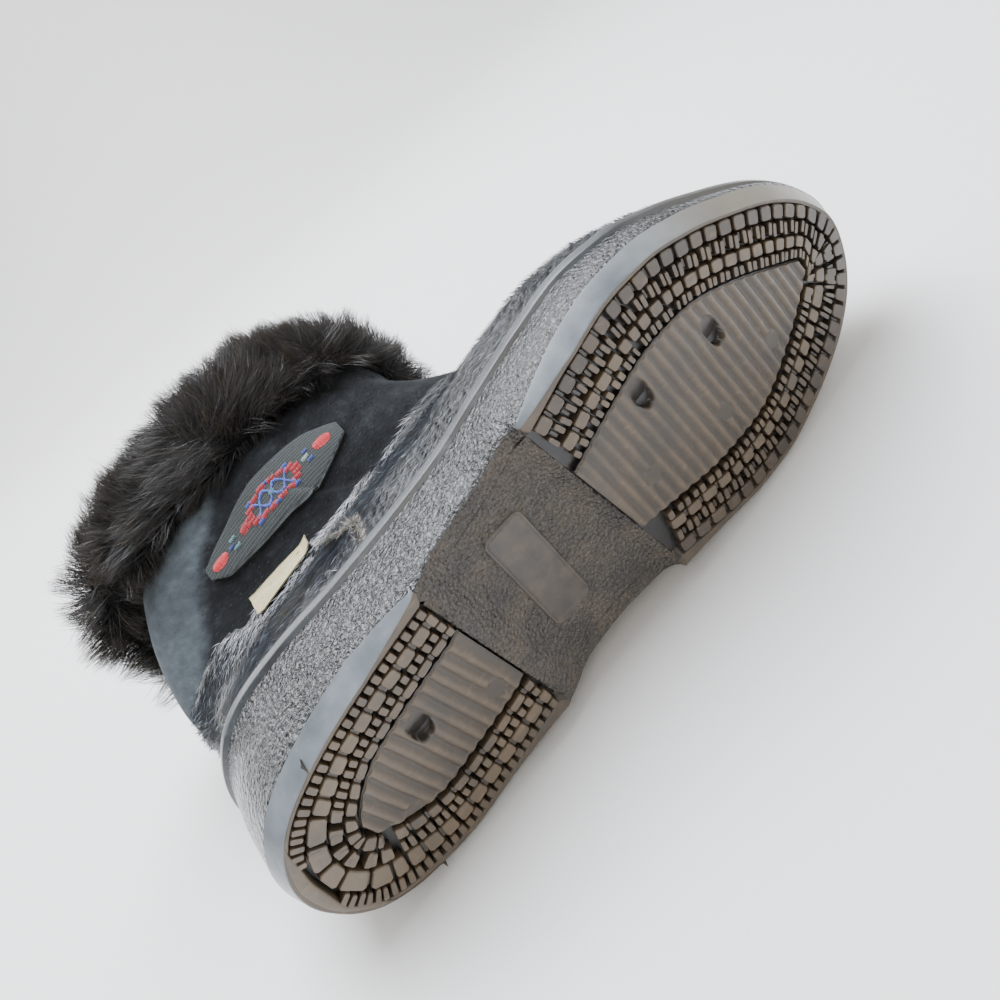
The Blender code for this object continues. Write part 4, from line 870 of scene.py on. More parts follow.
def build_tread_blocks():
    """Lugs, bars and plates of heel and forefoot, each with a draft and a broken top edge."""
    sizes = bpy.context.scene.boot_sizes
    verts = []
    walls = []
    caps = []
    crest = []
    worn = []
    cut = ((0.0, 0.14), (0.14, 0.0), (0.86, 0.0), (1.0, 0.14), (1.0, 0.86), (0.86, 1.0), (0.14, 1.0), (0.0, 0.86))
    for region, cells in LUGS.items():
        edge, inward, depth, arc = tread_band(region)
        count = int(round(arc[-1] / LUG_PITCH))
        pitch = arc[-1] / count

        def spot(s, t):
            at = float(np.clip(s * pitch, 0.0, arc[-1]))
            e = np.array([np.interp(at, arc, edge[:, 0]), np.interp(at, arc, edge[:, 1])])
            n = np.array([np.interp(at, arc, inward[:, 0]), np.interp(at, arc, inward[:, 1])])
            return e + (BAND_START + t * (float(np.interp(at, arc, depth)) - BAND_START)) * n

        for i in range(-1, count + 1):
            for row, (t0, t1, s0, s1, drop, wear) in enumerate(cells):
                s0 = i + 0.5 + s0
                s1 = i + 0.5 + s1
                if s1 < 0.12 or s0 > count - 0.12:
                    continue
                s0 = max(s0, 0.0)
                s1 = min(s1, float(count))
                middle = 0.5 * (t0 + t1)
                squeeze = np.linalg.norm(spot(s1, middle) - spot(s0, middle)) / ((s1 - s0) * pitch)
                if squeeze < 0.60:
                    if i % 2:
                        continue
                    s1 = s0 + 2.0 * (s1 - s0) + (0.12 if s1 - s0 < 0.6 else 0.06)
                wide = (s1 - s0) * squeeze * pitch
                if wide < 1.0 * MM:
                    continue
                foot = np.array([spot(s0 + (s1 - s0) * a, t0 + (t1 - t0) * b) for a, b in cut])
                heel, fore = breast_lines(foot[:, 1])
                if region == "heel":
                    foot[:, 0] = np.minimum(foot[:, 0], heel - 0.5 * MM)
                else:
                    foot[:, 0] = np.maximum(foot[:, 0], fore + 0.5 * MM)
                centre = foot.mean(axis=0)
                if np.ptp(foot[:, 0]) < 1.0 * MM or np.ptp(foot[:, 1]) < 0.9 * MM:
                    continue
                worn_to = np.interp(centre[1] * 1000, WORN_EDGE["across"], WORN_EDGE["along"]) * MM
                if region == "heel" and centre[0] < worn_to:
                    continue
                shift = float(waves(np.array([centre[0], centre[1], 0.0]), 9 * MM))
                shrink = 1.0 - sizes.lug_gap / max(wide, 2.0 * MM) * 0.5
                turn = 0.06 * math.sin(2.1 * i + 1.7 * row)
                first = len(verts)
                # Painted shade: the crest, the third value, falls from 1 on the top to 0 at the foot of each wall, and
                # deeper-set bars get less
                for grow, level, top in ((1.10, LUG_FLOOR + 0.4 * MM, 0.0), (1.03, 1.1 * MM, 0.5),
                                         (1.0, 0.34 * MM, 0.92), (0.91, 0.0, 1.0)):
                    for a, b in (foot - centre) * shrink * grow:
                        p = centre + np.array([a - turn * b, b + turn * a])
                        tilt = 40.0 * MM * a * math.sin(1.3 * i + row)
                        z = rise(p[0]) + level + (drop * MM + 0.12 * MM * (1 + shift) + tilt) * (level < 2 * MM)
                        verts.append((p[0], p[1], z))
                        crest.append(top * (1.0 - min(drop / 2.2, 0.7)))
                        worn.append(wear + 0.25 * shift)
                for ring_at in range(3):
                    for j in range(8):
                        h = (j + 1) % 8
                        a = first + ring_at * 8
                        walls.append((a + j, a + h, a + 8 + h, a + 8 + j))
                caps.append([first + 24 + j for j in range(8)])
    body = make_mesh("tread_blocks", verts, [walls, np.array(caps)], material(worn_tread_rubber), smooth_shade=False,
                     values={"crest": crest, "worn": worn})
    return place(body, "outsole")


def build_worn_heel():
    """Crescent worn smooth at the back of the heel."""
    loop, _, _ = outline(1200, 4.2 * MM)
    near = loop[loop[:, 0] < 32 * MM]
    near = near[np.argsort(near[:, 1])]
    across = np.linspace(WORN_EDGE["across"][0] + 1.0, WORN_EDGE["across"][-1] - 1.5, 90) * MM
    start = np.interp(across, near[:, 1], near[:, 0])
    end = curve(WORN_EDGE["across"], WORN_EDGE["along"], across * 1000) * MM
    end = np.maximum(end + 0.5 * MM * waves(np.stack([end, across, 0 * end], 1), 6 * MM), start + 0.3 * MM)
    rows = []
    for t, level in ((0.0, 1.6), (0.03, 0.75), (0.15, 0.55), (0.35, 0.38),
                     (0.6, 0.26), (0.8, 0.22), (0.93, 0.26), (1.0, 0.5)):
        rows.append(np.stack([start + (end - start) * t, across, np.full(len(across), level * MM)], 1))
    rows.append(np.stack([end + 0.25 * MM, across, np.full(len(across), LUG_FLOOR + 0.3 * MM)], 1))
    grid = np.array(rows)
    grid[..., 2] += rise(grid[..., 0]) + 0.10 * MM * waves(grid, 5 * MM)
    # Painted shade: the crest falls on the last two rows, where the worn edge drops to the floor
    crest = np.ones(grid.shape[:2]) * 0.95
    crest[-2:] = [[0.6], [0.0]]
    body = make_mesh("worn_heel_edge", grid.reshape(-1, 3), [grid_faces(grid.shape[0], grid.shape[1])],
                     material(worn_tread_rubber), values={"crest": crest, "worn": np.full(crest.shape, 0.55)})
    return place(body, "outsole")


# Plain spots of the pads: centre, half size along and across the sole, and depth, in millimetres;
# a notch deepens towards the inner side, where it ends at a steep wall
SPOTS = (
    {"x": 57.6, "y": -7.2, "long": 3.4, "wide": 5.2, "deep": 3.4, "notch": True},
    {"x": 171.6, "y": -21.4, "long": 3.2, "wide": 6.4, "deep": 3.6, "notch": True},
    {"x": 203.6, "y": -13.0, "long": 3.2, "wide": 6.2, "deep": 3.6, "notch": True},
    {"x": 78.8, "y": 6.2, "long": 3.4, "wide": 3.4, "deep": 0.75, "notch": False},
    {"x": 38.8, "y": 11.4, "long": 3.3, "wide": 3.3, "deep": 0.75, "notch": False},
    {"x": 218.9, "y": 11.1, "long": 3.3, "wide": 3.3, "deep": 0.70, "notch": False},
    {"x": 189.1, "y": 11.3, "long": 3.3, "wide": 3.3, "deep": 0.70, "notch": False},
    {"x": 156.7, "y": 2.6, "long": 3.3, "wide": 3.3, "deep": 0.70, "notch": False},
)


def build_pads():
    """Ribbed pads of heel and forefoot, with their moulded notches and plain discs."""
    ribs = bpy.context.scene.boot_sizes.rib_depth
    for region, nx, ny in (("heel", 150, 76), ("fore", 250, 96)):
        skew = HEEL_RIB_SKEW if region == "heel" else 0.0
        u = np.linspace(0.0, 1.0, nx)[:, None]
        v = np.linspace(0.0, 1.0, ny)[None, :]
        y = np.zeros((nx, ny))
        for _ in range(5):
            first, last = pad_span(region, y)
            x = first + (last - first) * u
            px = x - skew * y
            low = pad_edge(px, region, "outer")
            high = pad_edge(px, region, "inner")
            y = low + (high - low) * v
        phase = px / RIB_PITCH + 0.04 * waves(np.stack([px, y, 0 * y], -1), 8 * MM)
        rib = np.clip(0.5 - 0.5 * np.cos(2 * math.pi * phase), 0, 1) ** 0.8
        wear = waves(np.stack([px, y, 0 * y], -1), 12 * MM, 2.0)
        edge = np.minimum(y - low, high - y)
        open_end = (last - x) if region == "heel" else (x - first)
        round_end = (x - first) if region == "heel" else (last - x)
        plain = smooth(open_end / (5.5 * MM)) if region == "heel" else smooth(open_end / (2.5 * MM))
        sink = ribs * (1 - rib) * plain * (0.45 + 0.55 * smooth(edge / (1.4 * MM))) + 0.15 * MM * (1 + wear)
        if region == "heel":
            sink = sink + 1.0 * MM * (1 - smooth(open_end / (4.5 * MM)))
        else:
            sink = sink + 0.7 * MM * (1 - smooth(open_end / (1.0 * MM)))
        # Painted shade: each spot is darkened through the crest attribute, a notch more than a disc, as if shadowed by
        # its walls
        dark = np.zeros_like(sink)
        for row in SPOTS:
            dx = (x - row["x"] * MM) / (row["long"] * MM)
            dy = (y - row["y"] * MM) / (row["wide"] * MM)
            power = 2.6 if row["notch"] else 2.0
            d = (np.abs(dx) ** power + np.abs(dy) ** power) ** (1.0 / power)
            inside = smooth((1.05 - d) / 0.12)
            deep = row["deep"] * MM
            if row["notch"]:
                deep = 0.6 * MM + (deep - 0.6 * MM) * smooth(0.5 + 0.62 * dy)
            sink = sink * (1 - inside) + deep * inside
            dark = np.maximum(dark, inside * (0.55 if row["notch"] else 0.35))
        sink = sink + 0.9 * MM * (1 - smooth(edge / (0.6 * MM))) + 0.9 * MM * (1 - smooth(round_end / (0.7 * MM)))
        z = rise(x) + 0.2 * MM + sink
        verts = np.stack([x, y, z], -1).reshape(-1, 3)
        # Painted shade: the crest falls with depth, so rib valleys and sunken spots take the tread's darker colour
        crest = ((1 - np.clip(sink / (1.6 * MM), 0, 0.85)) * (1 - dark)).reshape(-1)
        faces = [grid_faces(nx, ny)]
        border = np.concatenate([np.arange(ny), np.arange(1, nx) * ny + ny - 1,
                                 (nx - 1) * ny + np.arange(ny - 2, -1, -1), np.arange(nx - 2, 0, -1) * ny])
        skirt = verts[border].copy()
        skirt[:, 2] = rise(skirt[:, 0]) + LUG_FLOOR + 0.6 * MM
        base = len(verts)
        m = len(border)
        j = np.arange(m)
        faces.append(np.stack([border, border[(j + 1) % m], base + (j + 1) % m, base + j], 1))
        verts = np.concatenate([verts, skirt])
        crest = np.concatenate([crest, np.zeros(m)])
        body = make_mesh(region + "_ribbed_pad", verts, faces, material(worn_tread_rubber),
                         values={"crest": crest, "worn": np.full(len(crest), 0.45)})
        place(body, "outsole")


def rounded_rectangle(half_x, half_y, corner, steps=8):
    out = []
    for sx, sy, start in ((1, 1, 0.0), (-1, 1, 90.0), (-1, -1, 180.0), (1, -1, 270.0)):
        for k in range(steps + 1):
            angle = math.radians(start + 90.0 * k / steps)
            out.append((sx * (half_x - corner) + corner * math.cos(angle),
                        sy * (half_y - corner) + corner * math.sin(angle)))
    return np.array(out)


def build_panel():
    """Plain panel under the arch, with a fine raised bead round it."""
    centre = np.array([0.408 * LENGTH, -0.058 * BALL_WIDTH])
    turn = 0.048
    ux = np.array([math.cos(turn), math.sin(turn)])
    uy = np.array([-math.sin(turn), math.cos(turn)])
    rows = []
    for inset, above in ((-0.5, -0.3), (-0.1, 0.35), (0.1, 0.50), (0.35, 0.55),
                         (0.6, 0.50), (0.8, 0.35), (1.1, 0.12), (1.8, 0.10)):
        loop = rounded_rectangle(7.5 * MM - inset * MM, 21 * MM - inset * MM, max(2.6 - inset, 1.0) * MM)
        xy = centre - loop[:, :1] * ux + loop[:, 1:] * uy
        rows.append(np.column_stack([xy, waist_depth(xy[:, 0], xy[:, 1]) - above * MM]))
    n = len(rows[0])
    verts = np.concatenate(rows)
    last = (len(rows) - 1) * n
    faces = [grid_faces(len(rows), n, close_columns=True), np.array([[last + j for j in range(n)]])]
    body = make_mesh("waist_panel", verts, faces, material(polished_waist_rubber))
    return place(body, "outsole")


# Upper

def inner_share(share):
    knots = (0.0, HEEL_BREAST[0], FORE_BREAST[0], 1.0)
    return np.interp(share, knots, (0.0, HEEL_BREAST[1], FORE_BREAST[1], 1.0))


def stations(half):
    """Station shares all the way round, and True on the outer side."""
    a = 0.5 * (1 - np.cos(np.linspace(0.0, math.pi, half + 1)))
    share = np.concatenate([a, inner_share(a[-2:0:-1])])
    outer = np.concatenate([np.ones(half + 1, bool), np.zeros(half - 1, bool)])
    return share, outer


def inset_points(share, outer, inset):
    t = angle_of(share)
    lo = np.maximum(t - 0.012, 0.0)
    hi = np.minimum(t + 0.012, math.pi)
    a = 0.5 * (1 - np.cos(lo))
    b = 0.5 * (1 - np.cos(hi))

    def edge(s):
        return np.where(outer, side_edge(s, "outer"), side_edge(s, "inner"))

    tangent = np.stack([(b - a) * LENGTH, edge(b) - edge(a)], 1)
    tangent[(share <= 0) | (share >= 1)] = (0.0, -1.0)
    tangent /= np.linalg.norm(tangent, axis=1)[:, None]
    inward = np.stack([-tangent[:, 1], tangent[:, 0]], 1)
    inward[~outer] *= -1
    inward[share <= 0] = (1.0, 0.0)
    inward[share >= 1] = (-1.0, 0.0)
    return np.stack([share * LENGTH, edge(share)], 1) + np.reshape(inset, (-1, 1)) * inward


def ring(level, half):
    share, outer = stations(half)
    if level < 2:
        inset = np.full(len(share), CUP_WALL + 1.5 * GAP)
        xy = inset_points(share, outer, inset)
        if level == 1:
            xy = inset_points(share, outer, inset - side_flare(xy[:, 0]))
        z = rise(xy[:, 0]) + (BED_HEIGHT + GAP if level == 0 else side_top(xy[:, 0]) + 0.8 * MM)
        return np.column_stack([xy, z])
    row = RINGS[level - 2]
    x = LENGTH * (row["back"] + (row["front"] - row["back"]) * share)
    flat = np.where(outer, side_edge(share, "outer"), side_edge(share, "inner"))
    tip = np.where(share < 0.5, side_edge(0.0, "outer"), side_edge(1.0, "outer"))
    shrink = 1.0 - (CUP_WALL + GAP) / (0.5 * BALL_WIDTH)
    flat = tip + (flat - tip) * shrink * row["wide"]
    swing = np.maximum(np.sin(angle_of(share)), 0.0) ** 0.75
    oval = BALL_WIDTH * row["round"] * swing * np.where(outer, -1.0, 0.93)
    y = (1.0 - row["oval"]) * flat + row["oval"] * (oval + 0.03 * BALL_WIDTH * (1.0 - row["oval"]))
    y = y - row["lean"] * BALL_WIDTH
    z = COLLAR_HEIGHT * (row["low"] + (row["high"] - row["low"]) * share ** row["sag"])
    return np.stack([x, y, z], 1)


def blend_levels(rings, levels):
    """Smooth surface through the rings at fractional levels, one row for each."""
    rings = np.asarray(rings)
    out = []
    for level in levels:
        k = int(min(max(math.floor(level), 0), len(rings) - 2))
        t = level - k
        p0 = rings[max(k - 1, 0)]
        p1 = rings[k]
        p2 = rings[k + 1]
        p3 = rings[min(k + 2, len(rings) - 1)]
        if k < 2:
            out.append((1 - t) * p1 + t * p2)
            continue
        out.append(0.5 * (2 * p1 + (p2 - p0) * t + (2 * p0 - 5 * p1 + 4 * p2 - p3) * t * t
                          + (3 * p1 - p0 - 3 * p2 + p3) * t ** 3))
    return np.array(out)


def grid_normals(grid):
    around = np.roll(grid, -1, axis=1) - np.roll(grid, 1, axis=1)
    up = np.gradient(grid, axis=0)
    normal = np.cross(up, around)
    normal /= np.linalg.norm(normal, axis=2)[:, :, None] + 1e-12
    if np.median(np.sum(normal * (grid - grid.mean(axis=1)[:, None, :]), axis=2)) < 0:
        normal = -normal
    return normal


def crease_field(points):
    """Displacement of the hide along its normal: creases and soft waves."""
    x = points[..., 0] / LENGTH
    z = points[..., 2] / COLLAR_HEIGHT
    out = 0.45 * MM * waves(points, 26 * MM) + 0.15 * MM * waves(points, 9 * MM, 1.0)
    for row in CREASES:
        ax, az = row["x0"] * LENGTH, row["z0"] * COLLAR_HEIGHT
        bx, bz = row["x1"] * LENGTH, row["z1"] * COLLAR_HEIGHT
        dx, dz = bx - ax, bz - az
        px = points[..., 0] - ax
        pz = points[..., 2] - az
        t = np.clip((px * dx + pz * dz) / (dx * dx + dz * dz), 0.0, 1.0)
        bow = 1.2 * MM * np.sin(math.pi * t)
        d = np.hypot(px - t * dx, pz - t * dz + bow)
        fade = np.sin(math.pi * np.clip(0.15 + 0.7 * t, 0, 1))
        out = out - row["deep"] * MM * fade * np.exp(-(d / (row["wide"] * MM)) ** 2)
    fade = smooth((z - 0.25) / 0.10) * smooth((0.86 - z) / 0.1)
    return out * fade + 0 * x


def quarter_step(points):
    """1 on the quarter's hair hide, 0 above its top edge."""
    line = COLLAR_HEIGHT * curve(QUARTER_TOP["along"], QUARTER_TOP["height"], points[..., 0] / LENGTH)
    wobble = 0.5 * MM * waves(points, 5 * MM, 3.0)
    return smooth((line + wobble - points[..., 2]) / (0.9 * MM) + 0.5)


_surface = {}


def hide_surface(half=130, rows=90):
    """Dense outer surface of the upper with its creases: grid, normals and levels."""
    if (half, rows) not in _surface:
        rings = [ring(k, half) for k in range(len(RINGS) + 2)]
        levels = np.concatenate([[0.0], np.linspace(0.9, len(rings) - 1.0, rows)])
        grid = blend_levels(rings, levels)
        normal = grid_normals(grid)
        grid = grid + (crease_field(grid) + 0.55 * MM * quarter_step(grid))[:, :, None] * normal
        _surface[(half, rows)] = (grid, grid_normals(grid), levels)
    return _surface[(half, rows)]


def outer_tree():
    """Search tree of the shaft's outer surface, to lay things on it."""
    if "tree" not in _surface:
        grid, _, _ = hide_surface()
        faces = grid_faces(grid.shape[0], grid.shape[1], close_columns=True)
        _surface["tree"] = BVHTree.FromPolygons([Vector(p) for p in grid.reshape(-1, 3)],
                                                [tuple(map(int, f)) for f in faces])
    return _surface["tree"]


def on_hide(x, z, lift):
    """Point above the outer side of the shaft at x and z, and the surface's direction there."""
    hit, normal, _, _ = outer_tree().ray_cast(Vector((x, -2.0 * BALL_WIDTH, z)), Vector((0.0, 1.0, 0.0)))
    if hit is None:
        raise RuntimeError(f"no hide at {x:.4f}, {z:.4f}")
    if normal.y > 0:
        normal = -normal
    return np.array(hit) + lift * np.array(normal), np.array(normal)


def build_upper():
    """Hide shell of shaft and quarter, with its lining inside and the cut edges between them."""
    grid, normal, _ = hide_surface()
    rows, columns = grid.shape[:2]
    inner = grid - UPPER_WALL * normal
    turned = 0.5 * (grid + inner)
    edge = turned[-1:] + np.array([0.0, 0.0, 0.9 * MM])
    skin = np.concatenate([grid, edge, inner[::-1], turned[:1] - np.array([0.0, 0.0, 0.2 * MM])])
    faces = grid_faces(len(skin), columns, close_rows=True, close_columns=True)
    step = quarter_step(grid)
    hide = step.reshape(-1)[np.minimum(faces, step.size - 1)].mean(axis=1) > 0.5
    hide &= faces.max(axis=1) < rows * columns
    row_of = faces[:, 0] // columns
    kind = np.where(row_of >= rows, 2, np.where(hide, 1, 0))
    line = np.interp(skin[..., 2] / COLLAR_HEIGHT, SLATE_EDGE["height"], SLATE_EDGE["along"])
    pale = smooth((line - skin[..., 0] / LENGTH) / 0.060 + 0.5)
    body = make_mesh("hide_shaft", skin.reshape(-1, 3), [faces],
                     [material(napped_shaft_hide), material(hair_hide_skin), material(fleece_lining)],
                     slots=kind, values={"pale": pale})
    return place(body, "upper")


def vamp_grid(lift, half=130, rows=40):
    """Surface of the vamp, lift above the upper, from the lip to its top edge."""
    rings = [ring(k, half) for k in range(len(RINGS) + 2)]
    dense = np.linspace(0.9, len(rings) - 1.0, 240)
    full = blend_levels(rings, dense)
    columns = 2 * half - 2 * int(half * angle_of(VAMP_EDGE[0]) / math.pi) + 1
    turn = np.linspace(0.0, 1.0, columns)
    out = []
    for t in np.linspace(0.0, 1.0, rows):
        start = half * float(angle_of(VAMP_EDGE[0] + (VAMP_EDGE[1] - VAMP_EDGE[0]) * t)) / math.pi
        place_at = start + (2 * half - 2 * start) * turn
        high = curve(HIDE_TOP["station"], HIDE_TOP["level"], (half - np.abs(place_at - half)) / half)
        at = (1.15 + (high - 1.15) * t - dense[0]) / (dense[-1] - dense[0]) * (len(dense) - 1)
        k = np.clip(np.floor(at).astype(int), 0, len(dense) - 2)
        f = (at - k)[:, None]
        c = np.floor(place_at).astype(int)
        g = (place_at - c)[:, None]
        c2 = (c + 1) % (2 * half)
        a = (1 - g) * full[k, c] + g * full[k, c2]
        b = (1 - g) * full[k + 1, c] + g * full[k + 1, c2]
        out.append((1 - f) * a + f * b)
    grid = np.array(out)
    normal = np.cross(np.gradient(grid, axis=0), np.gradient(grid, axis=1))
    normal /= np.linalg.norm(normal, axis=2)[:, :, None]
    if np.median(np.sum(normal * (grid - grid.mean(axis=(0, 1))), axis=2)) < 0:
        normal = -normal
    return grid + (crease_field(grid) + lift)[:, :, None] * normal, normal


def build_vamp():
    """Hair hide over the forefoot: a sheet with turned edges, its rear ends cut across and raw."""
    top, normal = vamp_grid(2.0 * MM)
    rows, columns = top.shape[:2]
    v = np.linspace(0, 1, rows)[:, None]
    u = np.linspace(0, 1, columns)[None, :]
    thin = 0.9 * MM * (1 - smooth(np.minimum(v, 1 - v) / 0.04)) + 0.3 * MM * (1 - smooth(np.minimum(u, 1 - u) / 0.008))
    wobble = 0.5 * MM * waves(top, 3 * MM, 1.5)
    top = top - thin[:, :, None] * normal
    top[..., 0] += (1 - smooth(np.minimum(u, 1 - u) / 0.02)) * wobble
    bottom = top - (1.4 * MM - thin)[:, :, None] * normal
    n = rows * columns
    verts = np.concatenate([top.reshape(-1, 3), bottom.reshape(-1, 3)])
    faces = [grid_faces(rows, columns), n + grid_faces(rows, columns)[:, ::-1]]
    border = np.concatenate([np.arange(columns), np.arange(1, rows) * columns + columns - 1,
                             (rows - 1) * columns + np.arange(columns - 2, -1, -1),
                             np.arange(rows - 2, 0, -1) * columns])
    m = len(border)
    j = np.arange(m)
    faces.append(np.stack([border, border[(j + 1) % m], n + border[(j + 1) % m], n + border[j]], 1))
    kind = np.zeros(sum(len(f) for f in faces), int)
    cut = np.isin(border % columns, (0, columns - 1)) & np.isin(border[(j + 1) % m] % columns, (0, columns - 1))
    kind[-m:] = np.where(cut, 1, 0)
    column = faces[0][:, 0] % columns
    kind[:len(column)] = np.where((column == 0) | (column == columns - 2), 1, 0)
    body = make_mesh("hair_hide_vamp", verts, faces, [material(hair_hide_skin), material(raw_hide_edge)], slots=kind)
    return place(body, "vamp")


def ribbons(name, paths, widths, sides, pick, surface, floor=0.15 * MM):
    """Hairs as thin tapering ribbons: paths is hairs by points by 3, as the boot stands."""
    n, k, _ = paths.shape
    taper = np.array([1.0, 0.95, 0.75, 0.45, 0.2])[:k - 1]
    half = 0.5 * widths[:, None, None] * taper[None, :, None] * sides[:, None, :]
    left = paths[:, :-1] - half
    right = paths[:, :-1] + half
    verts = np.concatenate([np.stack([left, right], 2).reshape(n, -1, 3), paths[:, -1:]], axis=1)
    per = verts.shape[1]
    laid = lay(verts.reshape(-1, 3))
    low = laid[:, 2] < floor + 1.5 * MM
    laid[low, 2] = floor + 1.5 * MM * np.exp((laid[low, 2] - floor - 1.5 * MM) / (3 * MM))
    start = (np.arange(n) * per)[:, None]
    quads = np.concatenate([start + np.array([[2 * j, 2 * j + 1, 2 * j + 3, 2 * j + 2]]) for j in range(k - 2)])
    tips = start + np.array([[2 * (k - 2), 2 * (k - 2) + 1, 2 * (k - 1)]])
    along = np.tile(np.append(np.repeat(np.linspace(0, 1, k)[:-1], 2), 1.0), n)
    values = {"along": along, "pick": np.repeat(pick, per)}
    return make_mesh(name, laid, [quads, tips], surface, values=values, laid=True)


def short_hairs(name, grid, normal, chance, count, seed, length, width, surface, node):
    """Short hair laid back along the hide, from points picked over a grid."""
    rng = np.random.default_rng(seed)
    rows, columns = grid.shape[:2]
    patch = np.linalg.norm(np.cross(np.gradient(grid, axis=0), np.gradient(grid, axis=1)), axis=2)
    weight = (patch * chance).reshape(-1)
    pick = rng.choice(rows * columns, count, p=weight / weight.sum())
    r, c = np.divmod(pick, columns)
    r2 = np.clip(r + rng.integers(-1, 2, count), 0, rows - 1)
    c2 = np.clip(c + rng.integers(-1, 2, count), 0, columns - 1)
    t = rng.random((count, 1))
    root = grid[r, c] * (1 - t) + grid[r2, c2] * t
    out = normal[r, c]
    swirl = waves(root, 16 * MM, 0.5)
    flow = np.stack([-np.cos(0.45 * swirl + 0.35), 0 * swirl, -np.sin(0.9 * swirl + 0.45)], 1)
    flow = flow + 0.28 * rng.standard_normal((count, 3))
    flow -= np.sum(flow * out, axis=1)[:, None] * out
    flow /= np.linalg.norm(flow, axis=1)[:, None]
    long = length * rng.uniform(0.6, 1.25, (count, 1))
    lift = rng.uniform(0.10, 0.34, (count, 1))
    paths = np.stack([root - 0.1 * MM * out, root + long * (0.5 * flow + 0.75 * lift * out),
                      root + long * (flow + lift * out)], 1)
    side = np.cross(flow, out)
    body = ribbons(name, paths, width * rng.uniform(0.7, 1.3, count), side, rng.random(count), surface)
    return place(body, node)


def build_short_hair():
    """Clipped hair of vamp and quarter, the shaft's nap, and the pale fuzz of the vamp's cut edge."""
    sizes = bpy.context.scene.boot_sizes
    # Painted highlight: the clipped hair's blue-grey tips and its pale blue-grey glints
    coat = material(hair_fibre, "clipped_cow_hair", srgb("0A0B0D"), srgb("262C34"), "A9B8C8", 0.78, 0.28, 0.05, 0.9)
    grid, normal = vamp_grid(2.0 * MM)
    short_hairs("vamp_hair", grid, normal, np.ones(grid.shape[:2]), 25000, 11, sizes.hair_length, 0.24 * MM, coat,
                None)
    rng = np.random.default_rng(21)
    count = 1500
    row = rng.integers(1, grid.shape[0] - 2, count)
    column = np.where(rng.random(count) < 0.5, 0, grid.shape[1] - 1)
    t = rng.random((count, 1))
    root = grid[row, column] * (1 - t) + grid[row + 1, column] * t
    root = root - 0.9 * MM * rng.random((count, 1)) * normal[row, column]
    ahead = np.where(rng.random((count, 1)) < 0.6, -1.0, 1.0) * np.array([[0.9, 0.0, 0.1]])
    heading = ahead + 0.5 * rng.standard_normal((count, 3)) + 0.5 * normal[row, column]
    heading /= np.linalg.norm(heading, axis=1)[:, None]
    long = rng.uniform(0.8, 2.8, (count, 1)) * MM
    end = root + long * (heading + 0.3 * rng.standard_normal((count, 3)))
    paths = np.stack([root, root + 0.55 * long * heading, end], 1)
    side = np.cross(heading, rng.standard_normal((count, 3)))
    side /= np.linalg.norm(side, axis=1)[:, None]
    fuzz = material(hair_fibre, "raw_hide_fuzz", srgb("8F8A80"), srgb("CFCABF"), "F0ECE2", 0.5, 0.8, 0.2, 0.3)
    place(ribbons("vamp_edge_fuzz", paths, rng.uniform(0.16, 0.3, count) * MM, side, rng.random(count), fuzz),
          None)
    grid, normal, levels = hide_surface()
    low = (levels > 1.3)[:, None] * (grid[..., 0] < 0.33 * LENGTH)
    short_hairs("quarter_hair", grid, normal, quarter_step(grid) * low, 13000, 12, sizes.hair_length, 0.24 * MM, coat,
                None)
    # Painted highlight: a few nap tips are made pale grey
    nap = material(hair_fibre, "sheared_nap", srgb("0A0B0C"), srgb("202327"), "596066", 0.88, 0.75, 0.05, 0.25)
    line = np.interp(grid[..., 2] / COLLAR_HEIGHT, SLATE_EDGE["height"], SLATE_EDGE["along"])
    dark = smooth((grid[..., 0] / LENGTH - line) / 0.05 + 0.2)
    shaft = (1 - quarter_step(grid)) * (levels > 2.0)[:, None] * (grid[..., 2] < 0.90 * COLLAR_HEIGHT) * dark
    short_hairs("shaft_nap", grid, normal, shaft, 14000, 13, sizes.nap_length, 0.16 * MM, nap, None)


# Fur

FUR_SECTION = {
    "out": (0.03, 0.55, 0.95, 1.00, 0.60, -0.05, -0.50, -0.18),
    "up": (-0.90, -1.00, -0.62, -0.10, 0.70, 1.00, 0.30, -0.22),
}


def collar_line(half):
    """Collar ring, its outward directions, and how deep and long the fur is at each station."""
    rings = np.array([ring(k, half) for k in range(len(RINGS) + 2)])
    collar = rings[-1]
    m = grid_normals(rings)[-1].copy()
    m[:, 2] = 0.0
    m /= np.linalg.norm(m, axis=1)[:, None]
    turn = np.arctan2(m[:, 1], m[:, 0])
    full = 1.0 + 0.12 * np.sin(2.0 * turn + 0.6) + 0.08 * np.sin(5.0 * turn + 1.0)
    full *= 1.0 + 0.45 * np.maximum(-np.cos(turn - 0.45), 0.0) - 0.45 * np.maximum(np.cos(turn), 0.0)
    sag = 1.0 + 0.04 * np.sin(3.0 * turn) - 0.70 * np.maximum(-np.cos(turn), 0.0) ** 1.16
    sag -= 0.35 * np.maximum(np.cos(turn), 0.0) ** 2
    return rings, collar, m, full, sag


def skin_of(rings, height):
    """Outer skin at a height for each station."""
    z = rings[:, :, 2]
    out = rings[-1].copy()
    for k in range(len(rings) - 2, 0, -1):
        inside = (z[k] <= height) & (height <= z[k + 1])
        t = ((height - z[k]) / (z[k + 1] - z[k] + 1e-12))[:, None]
        out = np.where(inside[:, None], (1 - t) * rings[k] + t * rings[k + 1], out)
    return out


